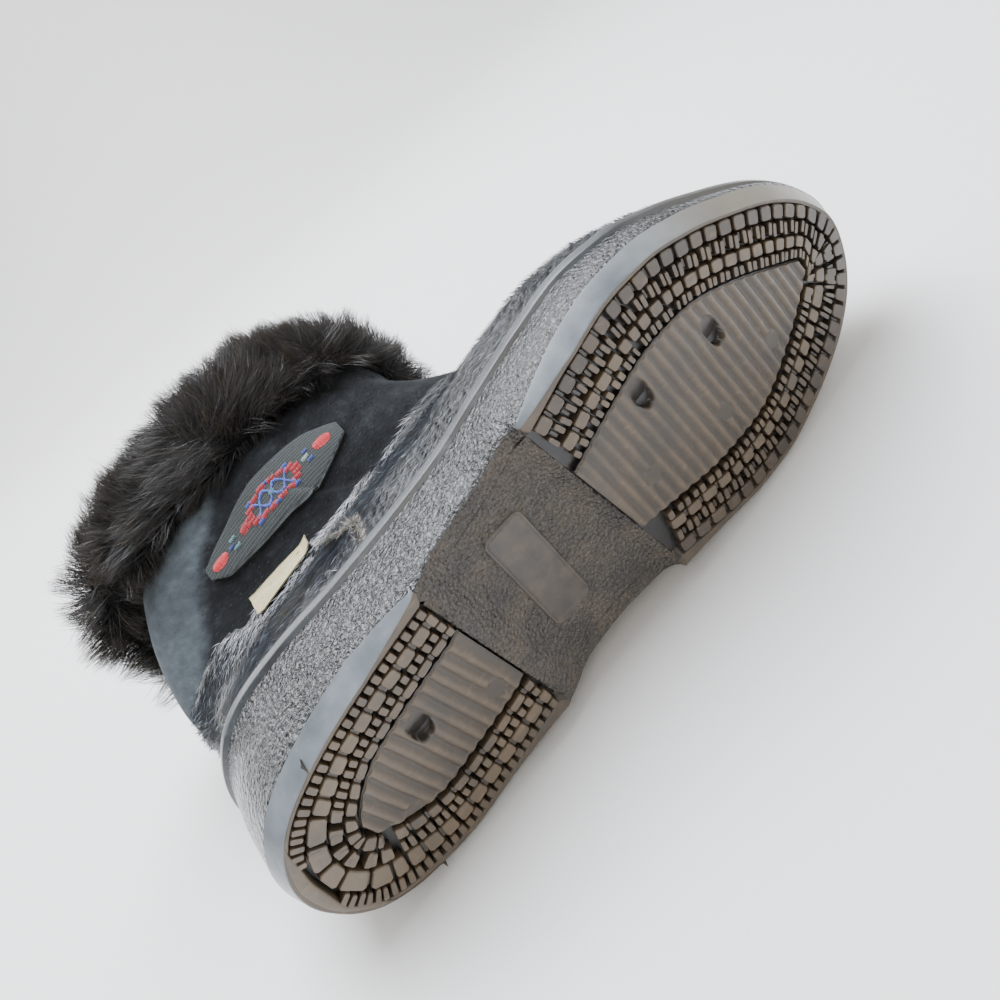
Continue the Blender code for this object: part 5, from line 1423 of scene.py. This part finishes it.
def fur_body(half, share, drop=1.0):
    """Section loops of the fur's body, share of its full depth, from under its lower edge, over the top and inside."""
    rings, collar, m, full, sag = collar_line(half)
    rows = []
    for out, up in zip(FUR_SECTION["out"], FUR_SECTION["up"]):
        height = np.full(len(collar), up * (FUR_RISE if up > 0 else FUR_DROP))
        if up < 0 and out > 0:
            height = height * sag * drop
        level = collar[:, 2] + height
        skin = skin_of(rings, level)
        reach = out * FUR_DEPTH * (full if out > 0.1 else 1.0) * (share if out > 0.1 else 1.0)
        if 0 < out < 0.1:
            reach = np.full(len(collar), 1.3 * MM)
        if out < -0.1:
            reach = np.full(len(collar), -(UPPER_WALL + (0.8 if out > -0.3 else 4.0 * share) * MM))
        reach = np.broadcast_to(reach, (len(collar),))
        rows.append(np.column_stack([skin[:, 0] + reach * m[:, 0], skin[:, 1] + reach * m[:, 1], level]))
    rows = np.array(rows)
    t = np.linspace(0, len(rows) - 1, 40)
    out = []
    for v in t:
        k = int(min(math.floor(v), len(rows) - 2))
        f = v - k
        p0, p1, p2, p3 = rows[max(k - 1, 0)], rows[k], rows[k + 1], rows[min(k + 2, len(rows) - 1)]
        out.append(0.5 * (2 * p1 + (p2 - p0) * f + (2 * p0 - 5 * p1 + 4 * p2 - p3) * f * f
                          + (3 * p1 - p0 - 3 * p2 + p3) * f ** 3))
    return np.array(out), m


def build_fur():
    """Cuff of long silky fur: a dark undercoat, and guard hair in soft locks that lie over each other."""
    sizes = bpy.context.scene.boot_sizes
    body, _ = fur_body(120, 0.80, 0.96)
    rows, columns = body.shape[:2]
    lumps = 1.5 * MM * waves(body, 12 * MM) + 0.6 * MM * waves(body, 5 * MM, 1.0)
    normal = grid_normals(body)
    centre = body.mean(axis=0)[None]
    normal *= np.sign(np.sum(normal * (body - centre), axis=2))[:, :, None]
    under = body + lumps[:, :, None] * normal
    coat = material(hair_fibre, "fur_undercoat", srgb("040302"), srgb("0B0705"), "1A120C", 0.9, 0.9, 0.0, 0.15)
    laid = lay(under.reshape(-1, 3))
    laid[:, 2] = np.maximum(laid[:, 2], 1.2 * MM)
    shell = make_mesh("fur_undercoat", laid, [grid_faces(rows, columns, close_columns=True)], coat,
                      values={"along": np.zeros(laid.shape[0]), "pick": np.zeros(laid.shape[0])}, laid=True)
    place(shell, "fur_cuff")

    # Painted highlight: a few guard hair tips are made pale cream, standing in for light caught on the fur's edge
    fibre = material(hair_fibre, "long_guard_hair", srgb("060403"), chosen("fur"), "BDA98F", 0.955, 0.46, 0.14, 0.45)
    up = np.gradient(body, axis=0)
    up /= np.linalg.norm(up, axis=2)[:, :, None]
    area = np.linalg.norm(np.cross(np.gradient(body, axis=0), np.gradient(body, axis=1)), axis=2)
    area[:2] *= 0.6
    area[-7:] *= 0.25
    rng = np.random.default_rng(5)
    tufts = 1300
    spot = rng.choice(rows * columns, tufts, p=(area / area.sum()).reshape(-1))
    tr, tc = np.divmod(spot, columns)
    level = tr / (rows - 1)
    seen = body[tr, tc]
    # Down at the lower edge, up and outwards over the side, inwards past the crest
    along = np.interp(level, (0.0, 0.12, 0.28, 0.5, 0.66, 0.8, 1.0), (-0.9, -0.55, 0.35, 0.75, 0.45, 0.55, 0.3))
    across = np.cross(normal[tr, tc], up[tr, tc])
    swirl = 1.1 * waves(seen, 24 * MM, 4.0) + 0.5 * waves(seen, 11 * MM, 5.0)
    flow = along[:, None] * up[tr, tc] + (0.75 * swirl)[:, None] * across + np.array([-0.22, 0.0, 0.0])
    flow += 0.16 * rng.standard_normal((tufts, 3))
    stand = np.interp(level, (0.0, 0.2, 0.45, 0.62, 0.8, 1.0), (0.20, 0.42, 0.62, 0.62, 0.45, 0.3))
    stand *= rng.uniform(0.7, 1.25, tufts)
    guide = normal[tr, tc] * stand[:, None] + flow
    guide /= np.linalg.norm(guide, axis=1)[:, None]
    shorter = np.interp(level, (0.0, 0.3, 0.5, 0.62, 0.8, 1.0), (0.55, 1.0, 0.85, 0.62, 0.6, 0.6))
    reach = sizes.fur_length * shorter * rng.uniform(0.78, 1.2, tufts)
    # Tufts drawn with a higher value here take the painted highlight at their tips more often
    pale = rng.random(tufts)
    total = int(93000 * sizes.fur_density)
    per_piece = 31000
    for piece in range(max(int(math.ceil(total / per_piece)), 1)):
        count = min(per_piece, total - piece * per_piece)
        if count <= 0:
            break
        rng = np.random.default_rng(100 + piece)
        k = rng.integers(0, tufts, count)
        r = np.clip(tr[k] + np.round(rng.standard_normal(count) * 1.4).astype(int), 0, rows - 1)
        c = (tc[k] + np.round(rng.standard_normal(count) * 2.2).astype(int)) % columns
        shift = rng.random((count, 1))
        root = under[r, c] * (1 - shift) + under[r, (c + 1) % columns] * shift
        tip = under[tr[k], tc[k]] + guide[k] * reach[k][:, None]
        own = rng.standard_normal((count, 3))
        clump = rng.uniform(0.25, 0.80, (count, 1))
        free = root + guide[k] * (reach[k] * rng.uniform(0.7, 1.12, count))[:, None] + 1.2 * MM * own
        end = clump * tip + (1 - clump) * free + 0.45 * MM * own
        start = root - 0.8 * MM * normal[r, c]
        belly = normal[r, c] * (0.16 * reach[k])[:, None]
        bend = 0.7 * MM * np.stack([waves(root, 9 * MM, 7.0), waves(root, 9 * MM, 8.0), waves(root, 9 * MM, 9.0)], 1)
        paths = np.stack([start, start + 0.33 * (end - start) + 0.8 * belly + bend,
                          start + 0.68 * (end - start) + 0.7 * belly - bend, end], 1)
        side = np.cross(end - start, normal[r, c] + 0.7 * rng.standard_normal((count, 3)))
        side /= np.linalg.norm(side, axis=1)[:, None] + 1e-12
        hairs = ribbons(f"fur_hair_{piece + 1}", paths, rng.uniform(0.11, 0.21, count) * MM, side,
                        np.clip(0.8 * rng.random(count) + 0.22 * pale[k], 0, 1), fibre)
        place(hairs, None)


# Patch and label

def sheet_on_hide(name, table, nu, nv, lift, thick, edge, surface, node, curl=None):
    """Cloth laid on the shaft between the table's two edges, thinner at its border."""
    along = np.linspace(table["along"][0], table["along"][-1], nu)
    low = curve(table["along"], table["lower"], along)
    high = curve(table["along"], table["upper"], along)
    top = np.zeros((nu, nv, 3))
    out = np.zeros((nu, nv, 3))
    for i in range(nu):
        for j in range(nv):
            v = j / (nv - 1)
            extra = curl(i / (nu - 1), v) if curl else 0.0
            p, m = on_hide(LENGTH * along[i], COLLAR_HEIGHT * (low[i] * (1 - v) + high[i] * v), lift + thick + extra)
            top[i, j] = p
            out[i, j] = m
    u = np.linspace(0, 1, nu)[:, None]
    v = np.linspace(0, 1, nv)[None, :]
    near = np.minimum(np.minimum(v, 1 - v) * 18 * MM, np.minimum(u, 1 - u) * 60 * MM)
    top = top - (edge * (1 - smooth(near / (0.8 * MM))))[:, :, None] * out
    bottom = top - thick * out
    n = nu * nv
    verts = np.concatenate([top.reshape(-1, 3), bottom.reshape(-1, 3)])
    border = np.concatenate([np.arange(nv), np.arange(1, nu) * nv + nv - 1,
                             (nu - 1) * nv + np.arange(nv - 2, -1, -1), np.arange(nu - 2, 0, -1) * nv])
    m = len(border)
    j = np.arange(m)
    faces = [grid_faces(nu, nv), n + grid_faces(nu, nv)[:, ::-1],
             np.stack([border, border[(j + 1) % m], n + border[(j + 1) % m], n + border], 1)]
    body = make_mesh(name, verts, faces, surface)
    place(body, node)
    return top, out


# Motifs of the patch from its front tip to its rear tip: place along it, half length and half
# width in millimetres, thread tone, and shape
MOTIFS = (
    {"at": 0.115, "across": 0.00, "long": 4.2, "wide": 2.1, "tone": 0.25, "shape": "leaf"},
    {"at": 0.215, "across": 0.45, "long": 1.3, "wide": 0.7, "tone": 0.45, "shape": "block"},
    {"at": 0.215, "across": -0.45, "long": 1.3, "wide": 0.7, "tone": 0.45, "shape": "block"},
    {"at": 0.235, "across": 0.00, "long": 1.6, "wide": 0.9, "tone": 0.97, "shape": "block"},
    {"at": 0.480, "across": 0.00, "long": 12.6, "wide": 4.6, "tone": 0.10, "shape": "ring"},
    {"at": 0.480, "across": 0.00, "long": 9.6, "wide": 3.0, "tone": 0.65, "shape": "lattice"},
    {"at": 0.345, "across": 0.95, "long": 1.3, "wide": 0.8, "tone": 0.45, "shape": "block"},
    {"at": 0.345, "across": -0.95, "long": 1.3, "wide": 0.8, "tone": 0.45, "shape": "block"},
    {"at": 0.480, "across": 1.05, "long": 1.5, "wide": 0.8, "tone": 0.45, "shape": "block"},
    {"at": 0.480, "across": -1.05, "long": 1.5, "wide": 0.8, "tone": 0.45, "shape": "block"},
    {"at": 0.615, "across": 0.95, "long": 1.3, "wide": 0.8, "tone": 0.45, "shape": "block"},
    {"at": 0.615, "across": -0.95, "long": 1.3, "wide": 0.8, "tone": 0.45, "shape": "block"},
    {"at": 0.705, "across": 0.00, "long": 2.4, "wide": 1.9, "tone": 0.10, "shape": "leaf"},
    {"at": 0.790, "across": 0.40, "long": 1.4, "wide": 0.7, "tone": 0.85, "shape": "block"},
    {"at": 0.790, "across": -0.40, "long": 1.4, "wide": 0.7, "tone": 0.85, "shape": "block"},
    {"at": 0.815, "across": 0.00, "long": 1.2, "wide": 0.6, "tone": 0.45, "shape": "block"},
    {"at": 0.910, "across": 0.00, "long": 4.0, "wide": 2.0, "tone": 0.25, "shape": "leaf"},
)


def stitch_places():
    """Stitches of every motif: both ends in millimetres along and across the patch, and tone."""
    out = []
    half = 35.5
    for motif in MOTIFS:
        u0 = (1.0 - motif["at"]) * 2 * half - half
        v0 = motif["across"] * 4.6
        long = motif["long"]
        wide = motif["wide"]
        if motif["shape"] in ("leaf", "block"):
            for a in np.arange(-long, long + 0.01, 0.34):
                w = wide * math.sqrt(max(1 - (a / long) ** 2, 0.0)) ** 0.8 if motif["shape"] == "leaf" else wide
                if w > 0.25:
                    out.append((u0 + a, v0 - w, u0 + a, v0 + w, motif["tone"]))
        elif motif["shape"] == "ring":
            steps = 16
            for k in range(steps):
                angle = 2 * math.pi * (k + 0.5) / steps
                cu = u0 + long * math.cos(angle)
                cv = v0 + wide * math.sin(angle)
                for a in np.arange(-1.9, 1.91, 0.34):
                    out.append((cu + a, cv - 1.1, cu + a, cv + 1.1, motif["tone"]))
        else:
            for sign in (-1, 1):
                for a in np.arange(-long, long, 0.36):
                    v = sign * wide * math.sin(2 * math.pi * a / (long * 1.34))
                    out.append((u0 + a, v0 + v - 0.75, u0 + a, v0 + v + 0.75, motif["tone"]))
            for a in np.arange(-1.6, 1.61, 0.34):
                w = 1.5 * (1 - abs(a) / 1.9)
                out.append((u0 + a, v0 - w, u0 + a, v0 + w, 0.85))
    return out


def build_patch():
    """Embroidered band: woven ground with satin-stitched motifs of raised thread."""
    ground = material(woven_band, "woven_wool_ground", srgb("1C2021"), chosen("band"), 0.42)
    nu, nv = 90, 26
    top, out = sheet_on_hide("patch_ground", PATCH, nu, nv, 0.8 * MM, 1.2 * MM, 0.5 * MM, ground,
                             "embroidered_patch")
    verts = []
    faces = []
    tone = []
    pick = []
    middle = top[:, nv // 2]
    span = np.concatenate([[0.0], np.cumsum(np.linalg.norm(np.diff(middle, axis=0), axis=1))])
    width = np.linalg.norm(top[:, -1] - top[:, 0], axis=1)

    def spot(u, v):
        """Point u along and v across the patch, in millimetres from its middle."""
        i = float(np.interp(u * MM + 0.5 * span[-1], span, np.arange(nu)))
        k = int(min(max(math.floor(i), 0), nu - 2))
        t = i - k
        wide = (1 - t) * width[k] + t * width[k + 1]
        j = np.clip(0.5 + v * MM / wide, 0.03, 0.97) * (nv - 1)
        h = int(min(math.floor(j), nv - 2))
        s = j - h
        p = (1 - t) * ((1 - s) * top[k, h] + s * top[k, h + 1]) + t * ((1 - s) * top[k + 1, h] + s * top[k + 1, h + 1])
        return p, out[k, h]

    rng = np.random.default_rng(3)
    for u1, v1, u2, v2, colour in stitch_places():
        jig = 0.10 * rng.standard_normal(4)
        a, m = spot(u1 + jig[0], v1 + jig[1])
        b, _ = spot(u2 + jig[2], v2 + jig[3])
        way = b - a
        size = np.linalg.norm(way)
        if size < 0.3 * MM:
            continue
        way /= size
        side = np.cross(way, m)
        first = len(verts)
        for t, thick, rise_up in ((0.0, 0.10, 0.0), (0.22, 0.20, 0.28), (0.78, 0.20, 0.28), (1.0, 0.10, 0.0)):
            for angle in (0.785, 2.356, 3.927, 5.498):
                around = math.cos(angle) * side + math.sin(angle) * m
                verts.append(a + t * size * way + rise_up * MM * m + thick * MM * around)
                tone.append(colour)
                pick.append(rng.random() * 0.3 + 0.35)
        for k in range(3):
            for j in range(4):
                h = (j + 1) % 4
                faces.append((first + 4 * k + j, first + 4 * k + h, first + 4 * k + 4 + h, first + 4 * k + 4 + j))
        faces.append([first + j for j in range(4)])
        faces.append([first + 12 + j for j in range(4)])
    body = make_mesh("embroidery_threads", np.array(verts), [faces], material(rayon_embroidery_thread),
                     values={"tone": tone, "pick": pick})
    place(body, None)


def build_label():
    """Small cream tape under the patch, left blank, its ends lifting off the hide."""
    tape = material(woven_band, "cream_cotton_tape", srgb("A89B6E"), chosen("tape"), 0.30)

    def curl(u, v):
        front = 2.6 * MM * max(u - 0.86, 0.0) ** 1.2 / 0.14 ** 1.2
        return front + 1.0 * MM * max(0.08 - u, 0.0) / 0.08 + 0.5 * MM * (1 - v)

    sheet_on_hide("cream_label", LABEL, 48, 12, 0.7 * MM, 0.7 * MM, 0.1 * MM, tape, "label_tab", curl)


def build_insole():
    """Felt insole on the sole's bed, with eased edges."""
    inset = CUP_WALL + 1.5 * GAP + UPPER_WALL + 0.4 * MM
    low = BED_HEIGHT + GAP
    verts = []
    for more, level in ((0.5, 0.0), (0.0, 0.5), (0.0, 2.2), (0.35, 2.8), (1.2, 3.0), (9.0, 3.05), (20.0, 3.0)):
        loop, _, _ = outline(260, inset + more * MM)
        verts.append(np.column_stack([loop, rise(loop[:, 0]) + low + level * MM]))
    grid = np.array(verts)
    grid[4:, :, 2] += 0.12 * MM * waves(grid[4:], 14 * MM)
    n = grid.shape[1]
    last = (len(grid) - 1) * n
    middle = len(grid) * n
    spine = grid[-1].mean(axis=0)
    under = np.array([spine[0], spine[1], rise(spine[0]) + low])
    points = np.concatenate([grid.reshape(-1, 3), [spine], [under]])
    j = np.arange(n)
    top = np.stack([last + j, last + (j + 1) % n, np.full(n, middle)], 1)
    base = np.stack([(j + 1) % n, j, np.full(n, middle + 1)], 1)
    body = make_mesh("felt_insole", points, [grid_faces(len(grid), n, close_columns=True), top, base],
                     material(pressed_felt))
    return place(body, "insole")


# Stage

FOCAL_PX = 870.0
PRINCIPAL_PX = (434.0, 178.0)
CAMERA_AT = (0.12061, -0.2013, -0.21043)
CAMERA_RIGHT = (0.67488, 0.62477, -0.39269)
CAMERA_FORWARD = (0.20515, 0.35232, 0.91312)

LAMPS = (
    {"name": "overhead", "at": (0.00, 0.15, 1.15), "size": 0.9, "power": 34.0, "colour": "F0F5FF"},
    {"name": "front_fill", "at": (-0.35, -1.20, 0.75), "size": 0.9, "power": 9.0, "colour": "FFF4E4"},
    {"name": "right_fill", "at": (1.10, -0.55, 0.60), "size": 0.9, "power": 3.5, "colour": "FFFFFF"},
    {"name": "rim", "at": (-0.90, 0.90, 0.90), "size": 0.8, "power": 10.0, "colour": "FFFFFF"},
    {"name": "backdrop", "at": (0.00, 1.20, 1.90), "size": 1.8, "power": 45.0, "colour": "FFFFFF"},
)


def build_stage():
    """Paper sweep, soft lights and the camera at the photo's place."""
    profile = [(-3.0, 0.0), (1.2, 0.0)]
    for k in range(1, 13):
        angle = math.radians(7.5 * k)
        profile.append((1.2 + 0.9 * math.sin(angle), 0.9 - 0.9 * math.cos(angle)))
    profile.append((2.1, 5.0))
    verts = []
    for y, z in profile:
        verts += [(-4.0, y, z), (4.0, y, z)]
    faces = np.array([(2 * k, 2 * k + 1, 2 * k + 3, 2 * k + 2) for k in range(len(profile) - 1)])
    floor = make_mesh("paper_sweep", np.array(verts), [faces], material(matt_paper), laid=True)

    for row in LAMPS:
        lamp = bpy.data.lights.new(row["name"], "AREA")
        lamp.energy = row["power"]
        lamp.size = row["size"]
        lamp.color = srgb(row["colour"])[:3]
        item = bpy.data.objects.new(row["name"], lamp)
        item.location = row["at"]
        aim = Vector((0.0, 2.0, 0.9)) if row["name"] == "backdrop" else Vector((0.0, 0.0, 0.05))
        item.rotation_euler = (aim - Vector(row["at"])).to_track_quat("-Z", "Y").to_euler()
        bpy.context.scene.collection.objects.link(item)
    world = bpy.data.worlds.new("pale_room")
    world.use_nodes = True
    world.node_tree.nodes["Background"].inputs["Color"].default_value = srgb("EEF1F5")
    world.node_tree.nodes["Background"].inputs["Strength"].default_value = 0.45
    bpy.context.scene.world = world

    forward = TURN @ np.array(CAMERA_FORWARD)
    forward /= np.linalg.norm(forward)
    right = TURN @ np.array(CAMERA_RIGHT)
    right -= forward * np.dot(right, forward)
    right /= np.linalg.norm(right)
    up = np.cross(right, forward)
    at = TURN @ np.array(CAMERA_AT) + SHIFT
    data = bpy.data.cameras.new("camera")
    data.sensor_width = 36.0
    data.lens = FOCAL_PX / 1000.0 * 36.0
    data.shift_x = -(PRINCIPAL_PX[0] - 500.0) / 1000.0
    data.shift_y = (PRINCIPAL_PX[1] - 500.0) / 1000.0
    data.clip_start = 0.01
    data.dof.use_dof = False
    camera = bpy.data.objects.new("camera", data)
    rows = [(*(float(v[i]) for v in (right, up, -forward)), float(at[i])) for i in range(3)]
    camera.matrix_world = Matrix(rows + [(0.0, 0.0, 0.0, 1.0)])
    bpy.context.scene.collection.objects.link(camera)
    bpy.context.scene.camera = camera


# Add-on

class BootSizes(bpy.types.PropertyGroup):
    rib_depth: bpy.props.FloatProperty(
        name="Rib depth", description="Height of the ribs on the two pads",
        default=0.95 * MM, min=0.3 * MM, max=1.6 * MM,
        subtype="DISTANCE", unit="LENGTH", precision=5)
    lug_gap: bpy.props.FloatProperty(
        name="Lug gap", description="Extra gap left round each lug of the tread",
        default=0.10 * MM, min=0.0, max=0.8 * MM,
        subtype="DISTANCE", unit="LENGTH", precision=5)
    hair_length: bpy.props.FloatProperty(
        name="Hair length", description="Length of the clipped hair on vamp and quarter",
        default=4.6 * MM, min=1.0 * MM,
        max=8.0 * MM, subtype="DISTANCE", unit="LENGTH", precision=4)
    nap_length: bpy.props.FloatProperty(
        name="Nap length", description="Length of the sheared nap on the shaft", default=1.6 * MM, min=0.5 * MM,
        max=3.0 * MM, subtype="DISTANCE", unit="LENGTH", precision=4)
    fur_length: bpy.props.FloatProperty(
        name="Fur length", description="Length of the guard hair in the cuff", default=16.0 * MM, min=6.0 * MM,
        max=20.0 * MM, subtype="DISTANCE", unit="LENGTH", precision=4)
    fur_density: bpy.props.FloatProperty(
        name="Fur density", description="Hairs in the cuff as a share of the full coat", default=1.0, min=0.02, max=1.0,
        subtype="FACTOR")


class BootColours(bpy.types.PropertyGroup):
    rubber: bpy.props.FloatVectorProperty(
        name="Side rubber", description="Moulded rubber of the side wall", subtype="COLOR", size=3, min=0.0, max=1.0,
        default=srgb("131416")[:3])
    dust: bpy.props.FloatVectorProperty(
        name="Tread dust", description="Dust on the tread's worn tops", subtype="COLOR", size=3, min=0.0, max=1.0,
        default=srgb("5C4E3B")[:3])
    hide: bpy.props.FloatVectorProperty(
        name="Shaft hide", description="Nap of the shaft", subtype="COLOR", size=3, min=0.0, max=1.0,
        default=srgb("191B1E")[:3])
    suede: bpy.props.FloatVectorProperty(
        name="Suede", description="Slate suede at the back of the shaft", subtype="COLOR", size=3, min=0.0, max=1.0,
        default=srgb("4B5257")[:3])
    fur: bpy.props.FloatVectorProperty(
        name="Fur", description="Guard hair of the cuff", subtype="COLOR", size=3, min=0.0, max=1.0,
        default=srgb("150E0A")[:3])
    band: bpy.props.FloatVectorProperty(
        name="Patch ground", description="Woven ground of the embroidered patch", subtype="COLOR", size=3, min=0.0,
        max=1.0, default=srgb("454B4B")[:3])
    tape: bpy.props.FloatVectorProperty(
        name="Label tape", description="Woven tape of the blank label", subtype="COLOR", size=3, min=0.0, max=1.0,
        default=srgb("EFE6C2")[:3])


class BOOT_OT_sole(bpy.types.Operator):
    """Build the rubber sole's cup wall, floor, waist and panel"""
    bl_idname = "boot.sole"
    bl_label = "Sole"

    def execute(self, context):
        build_sole_wall()
        build_sole_floor()
        build_panel()
        return {"FINISHED"}


class BOOT_OT_tread(bpy.types.Operator):
    """Build the lugs, the worn heel edge and the two ribbed pads"""
    bl_idname = "boot.tread"
    bl_label = "Tread"

    def execute(self, context):
        build_tread_blocks()
        build_worn_heel()
        build_pads()
        return {"FINISHED"}


class BOOT_OT_insole(bpy.types.Operator):
    """Build the felt insole"""
    bl_idname = "boot.insole"
    bl_label = "Insole"

    def execute(self, context):
        build_insole()
        return {"FINISHED"}


class BOOT_OT_upper(bpy.types.Operator):
    """Build the hide shaft with its lining"""
    bl_idname = "boot.upper"
    bl_label = "Upper"

    def execute(self, context):
        build_upper()
        return {"FINISHED"}


class BOOT_OT_vamp(bpy.types.Operator):
    """Build the hair-on vamp"""
    bl_idname = "boot.vamp"
    bl_label = "Vamp"

    def execute(self, context):
        build_vamp()
        return {"FINISHED"}


class BOOT_OT_short_hair(bpy.types.Operator):
    """Build the clipped hair of vamp and quarter and the shaft's nap"""
    bl_idname = "boot.short_hair"
    bl_label = "Short hair"

    def execute(self, context):
        build_short_hair()
        return {"FINISHED"}


class BOOT_OT_patch(bpy.types.Operator):
    """Build the embroidered patch and its threads"""
    bl_idname = "boot.patch"
    bl_label = "Patch"

    def execute(self, context):
        build_patch()
        return {"FINISHED"}


class BOOT_OT_label(bpy.types.Operator):
    """Build the blank tape label"""
    bl_idname = "boot.label"
    bl_label = "Label"

    def execute(self, context):
        build_label()
        return {"FINISHED"}


class BOOT_OT_fur(bpy.types.Operator):
    """Build the fur cuff's undercoat and guard hair"""
    bl_idname = "boot.fur"
    bl_label = "Fur cuff"

    def execute(self, context):
        build_fur()
        return {"FINISHED"}


class BOOT_OT_stage(bpy.types.Operator):
    """Build the paper floor, the lights and the camera"""
    bl_idname = "boot.stage"
    bl_label = "Stage"

    def execute(self, context):
        build_stage()
        return {"FINISHED"}


STEPS = (BOOT_OT_sole, BOOT_OT_tread, BOOT_OT_insole, BOOT_OT_upper, BOOT_OT_vamp, BOOT_OT_short_hair,
         BOOT_OT_patch, BOOT_OT_label, BOOT_OT_fur, BOOT_OT_stage)


class BOOT_PT_panel(bpy.types.Panel):
    """Sizes, colours and pieces of the boot"""
    bl_idname = "BOOT_PT_panel"
    bl_label = "Boot"
    bl_space_type = "VIEW_3D"
    bl_region_type = "UI"
    bl_category = "Boot"

    def draw(self, context):
        for group in (context.scene.boot_sizes, context.scene.boot_colours):
            for name in group.__annotations__:
                self.layout.prop(group, name)
        for step in STEPS:
            self.layout.operator(step.bl_idname)


CLASSES = (BootSizes, BootColours, *STEPS, BOOT_PT_panel)


def register():
    for item in CLASSES:
        bpy.utils.register_class(item)
    bpy.types.Scene.boot_sizes = bpy.props.PointerProperty(type=BootSizes)
    bpy.types.Scene.boot_colours = bpy.props.PointerProperty(type=BootColours)


def unregister():
    del bpy.types.Scene.boot_colours
    del bpy.types.Scene.boot_sizes
    for item in reversed(CLASSES):
        bpy.utils.unregister_class(item)


def main():
    register()
    for step in STEPS:
        getattr(bpy.ops.boot, step.bl_idname.split(".")[1])()


if __name__ == "__main__":
    main()
